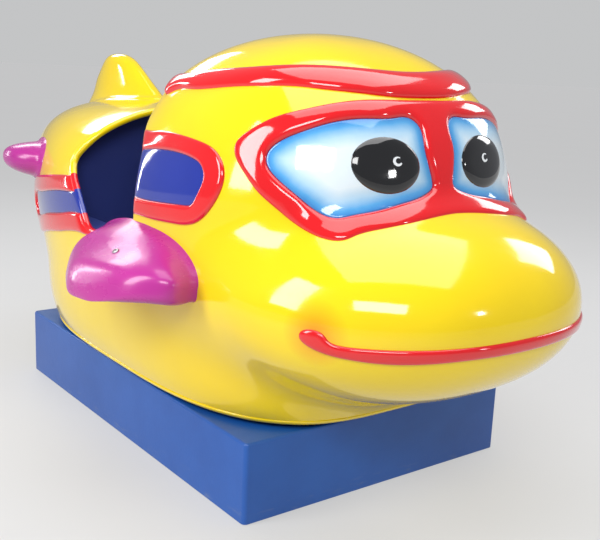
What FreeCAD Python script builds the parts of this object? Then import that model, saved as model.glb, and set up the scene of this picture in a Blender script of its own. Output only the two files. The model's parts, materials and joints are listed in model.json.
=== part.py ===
"""Coin-operated aeroplane kiddie ride: moulded body rocking on a floor-standing drive base.

Millimetres. +Z up, the nose points along -Y, +X is the right side seen from the nose.
The origin is the centre of the base footprint on the floor.
"""
import FreeCAD
import Part
import math
import os

V = FreeCAD.Vector

# ---------------------------------------------------------------- driving dimensions
BASE_LENGTH = 1264.0
BASE_WIDTH = 840.0
BASE_TOP = 200.0
BASE_WALL = 5.0
SKIRT_GAP = 2.0

HULL_BOTTOM = 210.0
BODY_WALL = 6.0
# each lobe: centre y, centre z, half sizes x y z, plan power, side power
HEAD = (-310.0, 773.0, 426.0, 452.0, 337.0, 2.69, 2.04)
HULL = (11.0, 467.0, 462.0, 725.0, 366.0, 3.24, 3.96)
TAIL = (474.0, 643.0, 366.0, 604.0, 251.0, 2.42, 2.81)
SNOUT = (-553.0, 509.0, 459.0, 494.0, 250.0, 2.30, 2.09)
HULL_BLEND = 94.0
TAIL_BLEND = 103.0
SNOUT_BLEND = 50.0
SPINE_FRONT = (-600.0, 520.0)
SPINE_REAR = (600.0, 620.0)
CAP_STEPS = 13
SPINE_STEPS = 20
AROUND = 52

GOGGLE_RELIEF = 11.0
BROW_RELIEF = 15.0
WINDOW_RELIEF = 8.0
PANEL_RELIEF = 2.5
MOUTH_RELIEF = 7.0
PUPIL_RELIEF = 9.0

PIVOT_Y = 580.0
PIVOT_Z = 150.0
SHAFT_R = 12.5
BEARING_CLEARANCE = 0.05
CRANK_Y = -250.0
CRANK_Z = 105.0
CRANK_RADIUS = 32.5
ROD_PIN_Z = 245.0
RAIL_X = 180.0
RAIL_TOP = 265.0
RAIL_SIZE = 40.0
TUB_FLOOR = 265.0
SEAT_TOP = 430.0
SILL_Z = 571.0
GLAND_X = -300.0

WHEEL_CENTRE = (0.0, -205.0, 700.0)
WHEEL_TILT = 35.0
COLUMN_DROP = 69.0
WHEEL_R = 120.0

# ---------------------------------------------------------------- outlines
# cockpit opening seen from the side (y, z)
OPENING = ((-85, 960), (-85, 877), (-134, 815), (-153, 765), (-158, 700), (-156, 640),
           (-146, 596), (-110, 571), (70, 571), (118, 576), (146, 603), (219, 678),
           (261, 716), (277, 746), (267, 774), (257, 810), (250, 850), (250, 960))
# goggle frame seen from the front, one half (x, z)
GOGGLE_HALF = ((0, 964), (62, 964), (167, 963), (233, 954), (292, 938), (329, 923), (366, 895),
               (390, 863), (399, 830), (396, 795), (386, 762), (363, 729), (338, 697),
               (322, 684), (305, 680), (266, 691), (218, 703), (138, 715), (34, 725), (0, 726))
# eye opening seen from the front (x, z)
EYE = ((366, 838), (342, 872), (308, 893), (251, 915), (186, 925), (111, 927), (61, 925),
       (46, 911), (44, 872), (33, 801), (33, 779), (51, 767), (126, 749), (203, 734),
       (247, 726), (288, 722), (305, 732), (335, 763), (359, 794), (368, 818))
PUPIL_CENTRE = (150.0, 828.0)
PUPIL_HALF = (85.0, 61.0)
# brow band seen from the side (y, z)
BROW = ((-98, 960), (-110, 941), (-161, 951), (-255, 963), (-403, 976), (-509, 984),
        (-573, 987), (-608, 983), (-656, 976), (-705, 966), (-705, 1024), (-597, 1029),
        (-521, 1031), (-405, 1019), (-268, 1005), (-150, 996), (-104, 984))
# front side window, red frame and blue light seen from the side (y, z)
WINDOW_FRAME = ((-40, 848), (-130, 856), (-220, 862), (-316, 861), (-403, 854), (-458, 842),
                (-496, 817), (-511, 789), (-506, 747), (-483, 710), (-447, 678), (-404, 663),
                (-347, 658), (-263, 654), (-130, 648), (-40, 643))
WINDOW_LIGHT = ((-30, 803), (-110, 808), (-180, 813), (-254, 820), (-344, 820), (-402, 813),
                (-438, 798), (-451, 778), (-441, 743), (-422, 714), (-391, 707), (-304, 701), (-180, 696), (-110, 694),
                (-30, 691))
# rear side window, the same
REAR_FRAME = ((60, 566), (150, 549), (300, 527), (450, 500), (568, 477), (650, 484),
              (700, 515), (712, 560), (690, 605), (640, 640), (577, 655), (430, 676),
              (300, 692), (180, 708), (60, 712))
REAR_LIGHT = ((60, 622), (150, 602), (300, 582), (450, 556), (568, 530), (630, 536),
              (655, 562), (630, 590), (559, 607), (430, 627), (300, 646), (180, 664), (60, 672))


# ---------------------------------------------------------------- plain solids
def box(x0, x1, y0, y1, z0, z1):
    """Box between two corners."""
    return Part.makeBox(x1 - x0, y1 - y0, z1 - z0, V(x0, y0, z0))


def rod(x, y, z, axis, radius, length):
    """Cylinder from a point along x, y or z; a negative length goes the other way."""
    way = {"x": V(1, 0, 0), "y": V(0, 1, 0), "z": V(0, 0, 1)}[axis]
    if length < 0:
        way = way * -1
    return Part.makeCylinder(radius, abs(length), V(x, y, z), way)


def ring(x, y, z, axis, radius, bore, length):
    """Plain bush."""
    return rod(x, y, z, axis, radius, length).cut(rod(x, y, z, axis, bore, length))


def fuse(shapes):
    """One solid from several that share faces or overlap."""
    out = shapes[0].multiFuse(list(shapes[1:])) if len(shapes) > 1 else shapes[0]
    return out.removeSplitter()


def cut(shape, tools):
    """Take every tool from the shape."""
    for tool in tools:
        shape = shape.cut(tool)
    return shape


def round_upright(shape, radius):
    """Fillet the edges that run straight up."""
    edges = [e for e in shape.Edges if len(e.Vertexes) == 2
             and abs(e.Vertexes[0].Z - e.Vertexes[1].Z) > 1.0
             and abs(e.Vertexes[0].X - e.Vertexes[1].X) < 0.01
             and abs(e.Vertexes[0].Y - e.Vertexes[1].Y) < 0.01]
    return shape.makeFillet(radius, edges)


def closed_curve(points):
    """Smooth closed wire through the points."""
    curve = Part.BSplineCurve()
    curve.interpolate(Points=points, PeriodicFlag=True)
    return Part.Wire(curve.toShape())


def side_prism(outline, x0, x1):
    """Outline in y and z carried from x0 to x1."""
    wire = closed_curve([V(x0, y, z) for y, z in outline])
    return Part.Face(wire).extrude(V(x1 - x0, 0, 0))


def front_prism(outline, y0, y1):
    """Outline in x and z carried from y0 to y1."""
    wire = closed_curve([V(x, y0, z) for x, z in outline])
    return Part.Face(wire).extrude(V(0, y1 - y0, 0))


def flip(outline):
    """Outline on the other side of the middle."""
    return tuple((-a, b) for a, b in reversed(outline))


def save(name, *shapes):
    """Write one node; several shapes stay separate solids."""
    shape = shapes[0] if len(shapes) == 1 else Part.makeCompound(list(shapes))
    shape.exportStep("parts/" + name + ".step")


# ---------------------------------------------------------------- body surface
def lobe(x, y, z, part):
    """Signed measure of one rounded lobe, negative inside."""
    cy, cz, a, b, c, plan, side = part
    flat = (abs(x / a) ** plan + abs((y - cy) / b) ** plan) ** (side / plan)
    return ((flat + abs((z - cz) / c) ** side) ** (1.0 / side) - 1.0) * min(a, b, c)


def blend(a, b, k):
    """Smooth minimum over a width k."""
    h = max(0.0, min(1.0, 0.5 + 0.5 * (b - a) / k))
    return b * (1.0 - h) + a * h - k * h * (1.0 - h)


def field(x, y, z):
    """Body surface at zero: head, hull, tail and snout run into each other."""
    value = blend(lobe(x, y, z, HEAD), lobe(x, y, z, HULL), HULL_BLEND)
    value = blend(value, lobe(x, y, z, TAIL), TAIL_BLEND)
    return blend(value, lobe(x, y, z, SNOUT), SNOUT_BLEND)


def normal(p):
    """Outward unit normal of the field."""
    d = 0.5
    g = V(field(p.x + d, p.y, p.z) - field(p.x - d, p.y, p.z),
          field(p.x, p.y + d, p.z) - field(p.x, p.y - d, p.z),
          field(p.x, p.y, p.z + d) - field(p.x, p.y, p.z - d))
    return g.normalize()


def first_hit(origin, way):
    """Point where a line leaves the body."""
    low = 0.0
    high = 20.0
    while field(origin.x + way.x * high, origin.y + way.y * high, origin.z + way.z * high) < 0:
        low = high
        high += 20.0
    for _ in range(30):
        mid = (low + high) / 2.0
        p = origin + way * mid
        if field(p.x, p.y, p.z) < 0:
            low = mid
        else:
            high = mid
    return origin + way * high


def body_grid():
    """Rows of surface points from the nose tip to the tail tip, with their normals."""
    rows = []
    fans = []
    for i in range(1, CAP_STEPS + 1):
        fans.append((SPINE_FRONT, math.pi / 2 * i / CAP_STEPS, -1.0))
    for i in range(1, SPINE_STEPS):
        t = i / float(SPINE_STEPS)
        spot = tuple(a + (b - a) * t for a, b in zip(SPINE_FRONT, SPINE_REAR))
        fans.append((spot, math.pi / 2, 1.0))
    for i in range(CAP_STEPS, 0, -1):
        fans.append((SPINE_REAR, math.pi / 2 * i / CAP_STEPS, 1.0))
    for (y, z), lean, side in fans:
        row = []
        for j in range(AROUND):
            turn = 2 * math.pi * j / AROUND
            way = V(math.sin(lean) * math.cos(turn), side * math.cos(lean),
                    math.sin(lean) * math.sin(turn))
            p = first_hit(V(0, y, z), way)
            row.append((p, normal(p)))
        rows.append(row)
    tips = []
    for (y, z), side in ((SPINE_FRONT, -1.0), (SPINE_REAR, 1.0)):
        p = first_hit(V(0, y, z), V(0, side, 0))
        tips.append((p, normal(p)))
    return tips[0], rows, tips[1]


def ring_poles(points):
    """Poles of the smooth closed curve through evenly numbered points."""
    curve = Part.BSplineCurve()
    steps = [i / float(len(points)) for i in range(len(points) + 1)]
    curve.interpolate(Points=points, PeriodicFlag=True, Parameters=steps)
    return curve


def skin(grid, offset):
    """Closed solid through the grid moved outward by the offset."""
    front, rows, rear = grid
    tip0 = front[0] + front[1] * offset
    tip1 = rear[0] + rear[1] * offset
    rings = [[p + n * offset for p, n in row] for row in rows]
    count = len(rings) + 1
    step = 1.0 / count
    lead = [(p - tip0 - front[1] * (p - tip0).dot(front[1])) * (1 / step) for p in rings[0]]
    trail = [(tip1 - p - rear[1] * (tip1 - p).dot(rear[1])) * (1 / step) for p in rings[-1]]
    curves = [ring_poles(row) for row in rings]
    poles = [c.getPoles() for c in curves]
    lead = ring_poles(lead).getPoles()
    trail = ring_poles(trail).getPoles()
    columns = []
    stations = [i * step for i in range(count + 1)]
    for k in range(len(poles[0])):
        line = Part.BSplineCurve()
        line.interpolate(Points=[tip0] + [row[k] for row in poles] + [tip1], Parameters=stations,
                         InitialTangent=lead[k], FinalTangent=trail[k], Scale=False)
        columns.append(line)
    net = [list(row) for row in zip(*[c.getPoles() for c in columns])]
    surface = Part.BSplineSurface()
    surface.buildFromPolesMultsKnots(
        net, columns[0].getMultiplicities(), curves[0].getMultiplicities(),
        columns[0].getKnots(), curves[0].getKnots(), False, True, 3, 3)
    solid = Part.Solid(Part.Shell([surface.toShape()]))
    if solid.Volume < 0:
        solid.reverse()
    return solid


# ---------------------------------------------------------------- body and face
def body_shell(outer, inner, opening):
    """Open-bottomed moulding with the cockpit cut through both sides and the top."""
    below = box(-600, 600, -1300, 1300, 0, HULL_BOTTOM)
    return outer.cut(inner).cut(below).cut(opening)


def relief(outline_solid, outer, raised):
    """Trim that stands on the body surface inside an outline."""
    return outline_solid.cut(outer).common(raised)


def goggle_frame(outer, raised, eyes):
    """Raised frame around both eyes."""
    whole = tuple(GOGGLE_HALF) + tuple(flip(GOGGLE_HALF))[1:-1]
    plate = front_prism(whole, -960, -440)
    return relief(cut(plate, eyes), outer, raised)


def pupil(side, panel, raised):
    """Domed eye disc on the eye panel."""
    x, z = PUPIL_CENTRE
    outline = []
    for i in range(24):
        a = 2 * math.pi * i / 24
        outline.append((side * x + PUPIL_HALF[0] * math.cos(a), z + PUPIL_HALF[1] * math.sin(a)))
    return relief(front_prism(outline, -960, -560), panel, raised)


def mouth_outline():
    """Strip across the snout with upturned corners (x, z)."""
    low = [(-360, 466), (-180, 468), (0, 470), (180, 468), (360, 466), (392, 474)]
    high = [(415, 500), (408, 517), (394, 516), (384, 500), (355, 493), (180, 497),
            (0, 499), (-180, 497), (-355, 493), (-384, 500), (-394, 516), (-408, 517),
            (-415, 500), (-392, 474)]
    return low + high


def loft(sections, end):
    """Solid through closed sections that closes on a point."""
    wires = [closed_curve(points) for points in sections]
    return Part.makeLoft(wires + [Part.Vertex(end)], True, False)


def oval(centre, long_axis, short_axis, power=2.4, count=20):
    """Rounded closed section from two half axes."""
    points = []
    for i in range(count):
        a = 2 * math.pi * i / count
        c = math.cos(a)
        s = math.sin(a)
        u = math.copysign(abs(c) ** (2.0 / power), c)
        w = math.copysign(abs(s) ** (2.0 / power), s)
        points.append(centre + long_axis * u + short_axis * w)
    return points


def wing(side):
    """Drooping swept flipper, thick at the root."""
    rows = ((400, -216, 575, 262, 57, 0.07), (470, -223, 560, 256, 56, 0.04),
            (540, -240, 542, 259, 52, -0.02), (590, -253, 526, 201, 46, -0.08),
            (620, -261, 517, 139, 37, -0.08), (636, -247, 500, 80, 24, -0.08))
    sections = []
    for x, y, z, chord, depth, rise in rows:
        long_axis = V(0, chord, chord * rise)
        short_axis = V(-side * depth * 0.25, 0, depth)
        sections.append(oval(V(side * x, y, z), long_axis, short_axis, 3.0))
    return loft(sections, V(side * 641, -246, 496))


def tailplane(side):
    """Small rounded stabiliser."""
    rows = ((270, 700, 686, 112, 62), (340, 702, 690, 104, 52), (400, 700, 695, 86, 42),
            (450, 694, 700, 60, 30), (478, 690, 703, 34, 18))
    sections = [oval(V(side * x, y, z), V(0, a, 0), V(0, 0, b), 2.2) for x, y, z, a, b in rows]
    return loft(sections, V(side * 486, 688, 704))


def tail_fin():
    """Upright fin that flares into the tail."""
    rows = ((800, 785, 270, 130), (860, 786, 258, 92), (900, 795, 238, 64), (940, 818, 200, 50),
            (975, 832, 157, 42), (1005, 843, 116, 36), (1024, 850, 78, 28), (1033, 853, 42, 16))
    sections = [oval(V(0, y, z), V(0, a, 0), V(b, 0, 0), 2.0) for z, y, a, b in rows]
    return loft(sections, V(0, 855, 1036))


def bulkheads(lining):
    """Two plywood frames bonded inside the hull, with the middle cut away."""
    frames = []
    for y, half, top in ((-470, 300, 640), (545, 215, 640)):
        plate = box(-500, 500, y, y + 18, RAIL_TOP, 700).common(lining)
        frames.append(plate.cut(box(-half, half, y - 1, y + 19, RAIL_TOP + 60, top)))
    return frames


# ---------------------------------------------------------------- cockpit
def cockpit_tub(lining):
    """Moulded liner: floor, sides, bench, rear wall that fills the arch and sill flanges."""
    t = 5.0
    parts = [
        box(-380, 380, -440, 330, TUB_FLOOR, TUB_FLOOR + t),
        box(-385, -380, -440, 330, TUB_FLOOR, SILL_Z - 2),
        box(380, 385, -440, 330, TUB_FLOOR, SILL_Z - 2),
        box(-385, 385, -445, -440, TUB_FLOOR, SILL_Z - 2),
        box(-380, 380, 40, 45, TUB_FLOOR, SEAT_TOP),
        box(-380, 380, 40, 330, SEAT_TOP - t, SEAT_TOP),
        box(-500, -380, -140, 330, SILL_Z - 7, SILL_Z - 2).common(lining),
        box(380, 500, -140, 330, SILL_Z - 7, SILL_Z - 2).common(lining),
        box(-500, 500, 325, 330, SILL_Z - 7, 960).common(lining),
        box(-380, 380, 325, 330, SEAT_TOP - t, SILL_Z - 2)]
    return fuse(parts)


def dashboard(lining):
    """Panel across the back of the head with holes for the column and two buttons."""
    plate = box(-500, 500, -306, -300, SILL_Z + 10, 1100).common(lining)
    holes = [rod(0, -310, WHEEL_CENTRE[2] - COLUMN_DROP, "y", 25, 30),
             rod(-190, -310, 800, "y", 14.3, 30), rod(190, -310, 800, "y", 14.3, 30)]
    return cut(plate, holes)


def tilted(shape):
    """Turn a piece made along +y about the wheel centre so that it leans like the column."""
    x, y, z = WHEEL_CENTRE
    out = shape.copy()
    out.rotate(V(x, y, z), V(1, 0, 0), WHEEL_TILT)
    return out


def steering_wheel():
    """Three-spoke wheel with a padded boss."""
    x, y, z = WHEEL_CENTRE
    rim = Part.makeTorus(WHEEL_R - 11, 11, V(x, y, z), V(0, 1, 0))
    boss = rod(x, y - 20, z, "y", 34, 34)
    spokes = []
    for i in range(3):
        bar = box(x + 20, x + WHEEL_R - 14, y - 6, y + 4, z - 12, z + 12)
        bar.rotate(V(x, y, z), V(0, 1, 0), 120 * i - 90)
        spokes.append(bar)
    wheel = fuse([rim, boss] + spokes)
    return tilted(wheel.cut(rod(x, y - 21, z, "y", 10.05, 24)))


def steering_column():
    """Fixed stub that carries the wheel, with a mounting flange on the dashboard's back."""
    x, y, z = WHEEL_CENTRE
    stub = rod(x, y - 175, z, "y", 10, 175)
    collar = rod(x, y - 175, z, "y", 17, 152)
    return tilted(fuse([stub, collar])).cut(box(-50, 50, -500, -306.5, 500, 760))


def column_flange():
    """Round flange welded to the column, bolted to the front of the dashboard."""
    face = rod(0, -300, WHEEL_CENTRE[2] - COLUMN_DROP, "y", 44, 5)
    x, y, z = WHEEL_CENTRE
    tool = tilted(rod(x, y - 175, z, "y", 17.02, 175))
    return face.cut(tool)


def button_ring(x):
    """Bezel of a start button."""
    return ring(x, -300, 800, "y", 21, 12.2, 6).fuse(ring(x, -318, 800, "y", 14, 12.2, 18))


def button_cap(x):
    """Sprung start button cap."""
    return rod(x, -312, 800, "y", 12, 24)


# ---------------------------------------------------------------- base
def base_cover():
    """Moulded box over the drive, open below, with openings for the pivot lugs and the rod."""
    x = BASE_WIDTH / 2
    y = BASE_LENGTH / 2
    w = BASE_WALL
    body = round_upright(box(-x, x, -y, y, SKIRT_GAP, BASE_TOP), 12)
    room = round_upright(box(-x + w, x - w, -y + w, y - w, SKIRT_GAP - 1, BASE_TOP - w), 8)
    top = BASE_TOP - w - 1
    holes = [box(-205, -160, PIVOT_Y - 34, PIVOT_Y + 34, top, BASE_TOP + 1),
             box(160, 205, PIVOT_Y - 34, PIVOT_Y + 34, top, BASE_TOP + 1),
             box(70, 150, CRANK_Y - 60, CRANK_Y + 60, top, BASE_TOP + 1),
             box(x - w - 1, x + 1, -180, 180, 30, 170),
             box(x - w - 1, x + 1, -438, -352, 40, 160),
             box(x - w - 1, x + 1, 250, 370, 60, 150),
             rod(GLAND_X, y - w - 1, 60, "y", 14.2, w + 2)]
    return cut(body.cut(room), holes)


def base_frame():
    """Welded angle frame with flat cross bars; its lower flanges stand on the floor."""
    x = BASE_WIDTH / 2 - BASE_WALL - 1
    y = BASE_LENGTH / 2 - BASE_WALL - 1
    t = 5.0
    flange = 45.0
    web = 28.0
    parts = []
    for s in (-1, 1):
        xs = sorted((s * x, s * (x - flange)))
        xw = sorted((s * x, s * (x - t)))
        parts.append(box(xs[0], xs[1], -y, y, 0, t))
        parts.append(box(xw[0], xw[1], -y, y, 0, web))
        ys = sorted((s * y, s * (y - flange)))
        yw = sorted((s * y, s * (y - t)))
        parts.append(box(-x, x, ys[0], ys[1], 0, t))
        parts.append(box(-x, x, yw[0], yw[1], 0, web))
    for yc in (-380.0, -120.0, 40.0, 265.0, 530.0):
        parts.append(box(-x, x, yc - 25, yc + 25, 0, t))
    frame = fuse(parts).common(round_upright(box(-x, x, -y, y, 0, web), 9))
    holes = [rod(sx * (x - 25), sy * (y - 25), -1, "z", 6.5, t + 2)
             for sx in (-1, 1) for sy in (-1, 1)]
    return cut(frame, holes)


def drive_plate():
    """Plate that carries gearbox and motor across two frame angles."""
    plate = box(-210, 140, -405, -95, 5, 13)
    holes = [rod(x, y, 4, "z", 4.5, 10) for x in (-48, 48) for y in (-300, -200)]
    return cut(plate, holes)


def gearbox_housing():
    """Worm gearbox: foot flange, case, output boss."""
    foot = box(-65, 65, -320, -180, 13, 23)
    case = round_upright(box(-48, 48, -305, -195, 23, 165), 10)
    boss = rod(48, CRANK_Y, CRANK_Z, "x", 34, 12)
    neck = rod(0, -195, 62, "y", 40, 15)
    holes = [rod(x, y, 12, "z", 4.5, 12) for x in (-48, 48) for y in (-300, -200)]
    bore = rod(20, CRANK_Y, CRANK_Z, "x", 12.5 + BEARING_CLEARANCE, 45)
    slots = [rod(x, y, 23, "z", 9, 30) for x in (-48, 48) for y in (-300, -200)]
    return cut(fuse([foot, case, boss, neck]), holes + [bore] + slots)


def drive_motor():
    """Finned induction motor along the base."""
    body = rod(0, -180, 62, "y", 44, 149)
    fins = []
    for i in range(9):
        fins.append(ring(0, -165 + 14 * i, 62, "y", 48, 43, 5))
    box_lid = box(-28, 28, -150, -90, 100, 132)
    return fuse([body, box_lid] + fins)


def motor_fan_cover():
    """Pressed cowl with a ring of slots."""
    cowl = rod(0, -31, 62, "y", 49, 34).cut(rod(0, -32, 62, "y", 47, 33))
    slots = []
    for i in range(8):
        bar = box(14, 40, -2, 6, 59, 65)
        bar.rotate(V(0, 0, 62), V(0, 1, 0), 45 * i)
        slots.append(bar)
    return cut(cowl, slots)


def crank():
    """Output shaft with the crank arm and its pin; the pin points down at rest."""
    shaft = rod(22, CRANK_Y, CRANK_Z, "x", 12.5, 64)
    arm = fuse([rod(74, CRANK_Y, CRANK_Z, "x", 24, 12),
                rod(74, CRANK_Y, CRANK_Z - CRANK_RADIUS, "x", 18, 12),
                box(74, 86, CRANK_Y - 18, CRANK_Y + 18, CRANK_Z - CRANK_RADIUS, CRANK_Z)])
    arm = arm.cut(rod(73, CRANK_Y, CRANK_Z, "x", 12.5, 14))
    pin = rod(86, CRANK_Y, CRANK_Z - CRANK_RADIUS, "x", 10, 8)
    return shaft, arm, pin


def connecting_rod():
    """Rod from the crank to the ride frame."""
    low = CRANK_Z - CRANK_RADIUS
    eyes = [rod(97, CRANK_Y, low, "x", 20, 18), rod(97, CRANK_Y, ROD_PIN_Z, "x", 19, 18)]
    bar = box(101, 111, CRANK_Y - 11, CRANK_Y + 11, low + 8, ROD_PIN_Z - 8)
    holes = [rod(96, CRANK_Y, low, "x", 13, 20), rod(96, CRANK_Y, ROD_PIN_Z, "x", 12, 20)]
    return cut(fuse(eyes + [bar]), holes)


def ride_frame():
    """Rectangular-tube cradle under the body with pivot lugs and the rod bracket."""
    low = RAIL_TOP - RAIL_SIZE
    half = RAIL_SIZE / 2
    parts = []
    for s in (-1, 1):
        parts.append(box(s * RAIL_X - half, s * RAIL_X + half, -520, 610, low, RAIL_TOP))
        lug = fuse([box(s * RAIL_X - 6, s * RAIL_X + 6, PIVOT_Y - 24, PIVOT_Y + 24,
                        PIVOT_Z, low + 2), rod(s * RAIL_X - 6, PIVOT_Y, PIVOT_Z, "x", 24, 12)])
        parts.append(lug)
    for yc in (-490.0, -180.0, 300.0, 560.0):
        parts.append(box(-RAIL_X, RAIL_X, yc - half, yc + half, low, RAIL_TOP))
    for x0, x1 in ((84, 94), (118, 128)):
        parts.append(box(x0, x1, CRANK_Y - 22, -180, ROD_PIN_Z - 20, RAIL_TOP))
    frame = fuse(parts)
    hollows = []
    for s in (-1, 1):
        hollows.append(box(s * RAIL_X - half + 3, s * RAIL_X + half - 3, -521, 611,
                           low + 3, RAIL_TOP - 3))
        hollows.append(rod(s * RAIL_X - 7, PIVOT_Y, PIVOT_Z, "x", SHAFT_R, 14))
    hollows.append(rod(80, CRANK_Y, ROD_PIN_Z, "x", 8, 60))
    return cut(frame, hollows)


def outriggers():
    """Folded brackets from the rails to the hull sides."""
    out = []
    for s in (-1, 1):
        for y in (-330.0, 60.0, 430.0):
            xs = sorted((s * (RAIL_X + 20), s * 400))
            foot = box(xs[0], xs[1], y - 20, y + 20, RAIL_TOP - 22, RAIL_TOP - 16)
            xt = sorted((s * 394, s * 400))
            tab = box(xt[0], xt[1], y - 20, y + 20, RAIL_TOP - 22, RAIL_TOP + 30)
            out.append(fuse([foot, tab]))
    return out


def pillow_block(s):
    """Pivot bearing in its foot, bored for the shaft."""
    x = s * 225.0
    lo, hi = sorted((x - 14, x + 14))
    base = box(lo, hi, PIVOT_Y - 42, PIVOT_Y + 42, 100, 118)
    hump = rod(lo, PIVOT_Y, PIVOT_Z, "x", 30, 28)
    web = box(lo, hi, PIVOT_Y - 28, PIVOT_Y + 28, 110, PIVOT_Z)
    bore = rod(lo - 1, PIVOT_Y, PIVOT_Z, "x", SHAFT_R + BEARING_CLEARANCE, 30)
    return fuse([base, web, hump]).cut(bore)


def pivot_stand(s):
    """Folded pedestal on the rear cross bar that lifts one pivot bearing."""
    x = s * 225.0
    return fuse([box(x - 25, x + 25, 505, 620, 5, 11), box(x - 25, x + 25, 535, 620, 94, 100),
                 box(x - 25, x - 20, 535, 620, 5, 100), box(x + 20, x + 25, 535, 620, 5, 100)])


def buffers():
    """Rubber stops on the base top that the hull frame comes down on."""
    return [rod(s * RAIL_X, -440, BASE_TOP, "z", 22, 20) for s in (-1, 1)]


def control_box():
    """Sealed timer and relay box."""
    return round_upright(box(-360, -240, -60, 140, 5, 115), 6)


def transformer():
    """Isolating transformer: core, winding and foot."""
    core = box(-350, -250, 220, 310, 5, 90)
    coil = box(-330, -270, 200, 330, 20, 75)
    return fuse([core, coil])


def service_door():
    """Flush steel door over the service opening."""
    x = BASE_WIDTH / 2
    door = box(x + 1.5, x + 4, -190, 192, 24, 176)
    knuckle = ring(x + 8.5, 196, 60, "z", 5, 3.05, 80)
    leaf = box(x + 3.5, x + 6, 170, 196, 62, 138).cut(rod(x + 8.5, 196, 59, "z", 5.0, 82))
    hole = rod(x, -160, 100, "x", 9.5, 6)
    return fuse([door, leaf, knuckle]).cut(hole)


def door_hinge():
    """Fixed hinge leaf with its pin."""
    x = BASE_WIDTH / 2
    leaf = box(x, x + 2.5, 198, 226, 50, 150)
    pin = rod(x + 8.5, 196, 48, "z", 3, 104)
    ears = []
    for z0, z1 in ((46, 58), (142, 154)):
        ear = fuse([rod(x + 8.5, 196, z0, "z", 5, z1 - z0), box(x, x + 8.5, 198, 201, z0, z1)])
        ears.append(ear)
    return fuse([leaf, pin] + ears)


def lock_barrel():
    """Cam lock barrel fixed in the door."""
    x = BASE_WIDTH / 2
    head = rod(x + 4, -160, 100, "x", 12, 4)
    tube = rod(x - 5, -160, 100, "x", 9.4, 9)
    bore = rod(x - 6, -160, 100, "x", 4.05, 16)
    return fuse([head, tube]).cut(bore)


def lock_cam():
    """Key plug with the cam; upright it is open, forward it hooks behind the cover wall."""
    x = BASE_WIDTH / 2
    plug = rod(x - 9, -160, 100, "x", 4, 16)
    cam = box(x - 9, x - 6, -167, -153, 92, 146)
    return fuse([plug, cam])


def coin_panel():
    """Stainless coin plate with slot, reject button hole and return chute."""
    x = BASE_WIDTH / 2
    plate = box(x, x + 3, -450, -340, 28, 172)
    body = box(x - 60, x, -436, -354, 42, 158).cut(box(x - 57, x + 1, -433, -357, 45, 155))
    slot = box(x - 2, x + 4, -370, -366, 120, 150)
    button = rod(x - 2, -420, 135, "x", 8.1, 6)
    chute = box(x - 2, x + 4, -425, -365, 48, 92)
    return cut(fuse([plate, body]), [slot, button, chute])


def coin_cup():
    """Return cup behind the chute opening."""
    x = BASE_WIDTH / 2
    outer = box(x - 40, x + 2.5, -424.7, -365.3, 48.3, 91.7)
    return outer.cut(box(x - 37, x + 3, -422, -368, 51, 89))


def reject_button():
    """Sprung coin-return button."""
    x = BASE_WIDTH / 2
    return rod(x - 14, -420, 135, "x", 8, 23)


def cash_box():
    """Lift-out cash box behind the service door."""
    shell = box(250, 390, -140, 60, 5, 105)
    slot = box(300, 340, -100, -60, 100, 106)
    return cut(shell, [box(253, 387, -137, 57, 8, 102), slot])


def speaker_grille():
    """Slotted plate over the speaker."""
    x = BASE_WIDTH / 2
    plate = box(x, x + 3, 240, 380, 50, 160)
    slots = [box(x - 1, x + 4, 262, 358, 68 + 12 * i, 74 + 12 * i) for i in range(7)]
    return cut(plate, slots)


def speaker():
    """Loudspeaker behind the grille."""
    x = BASE_WIDTH / 2 - BASE_WALL
    frame = rod(x + 4.5, 310, 105, "x", 44, -6)
    cone = Part.makeCone(40, 16, 26, V(x - 1, 310, 105), V(-1, 0, 0))
    magnet = rod(x - 26, 310, 105, "x", 24, -16)
    return fuse([frame, cone, magnet])


def cable_gland():
    """Power inlet gland in the rear wall."""
    y = BASE_LENGTH / 2
    flange = rod(GLAND_X, y, 60, "y", 20, 6)
    stem = rod(GLAND_X, y - 25, 60, "y", 14, 26)
    cone = Part.makeCone(17, 10, 16, V(GLAND_X, y + 6, 60), V(0, 1, 0))
    return fuse([flange, stem, cone]).cut(rod(GLAND_X, y - 26, 60, "y", 5, 60))


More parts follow.
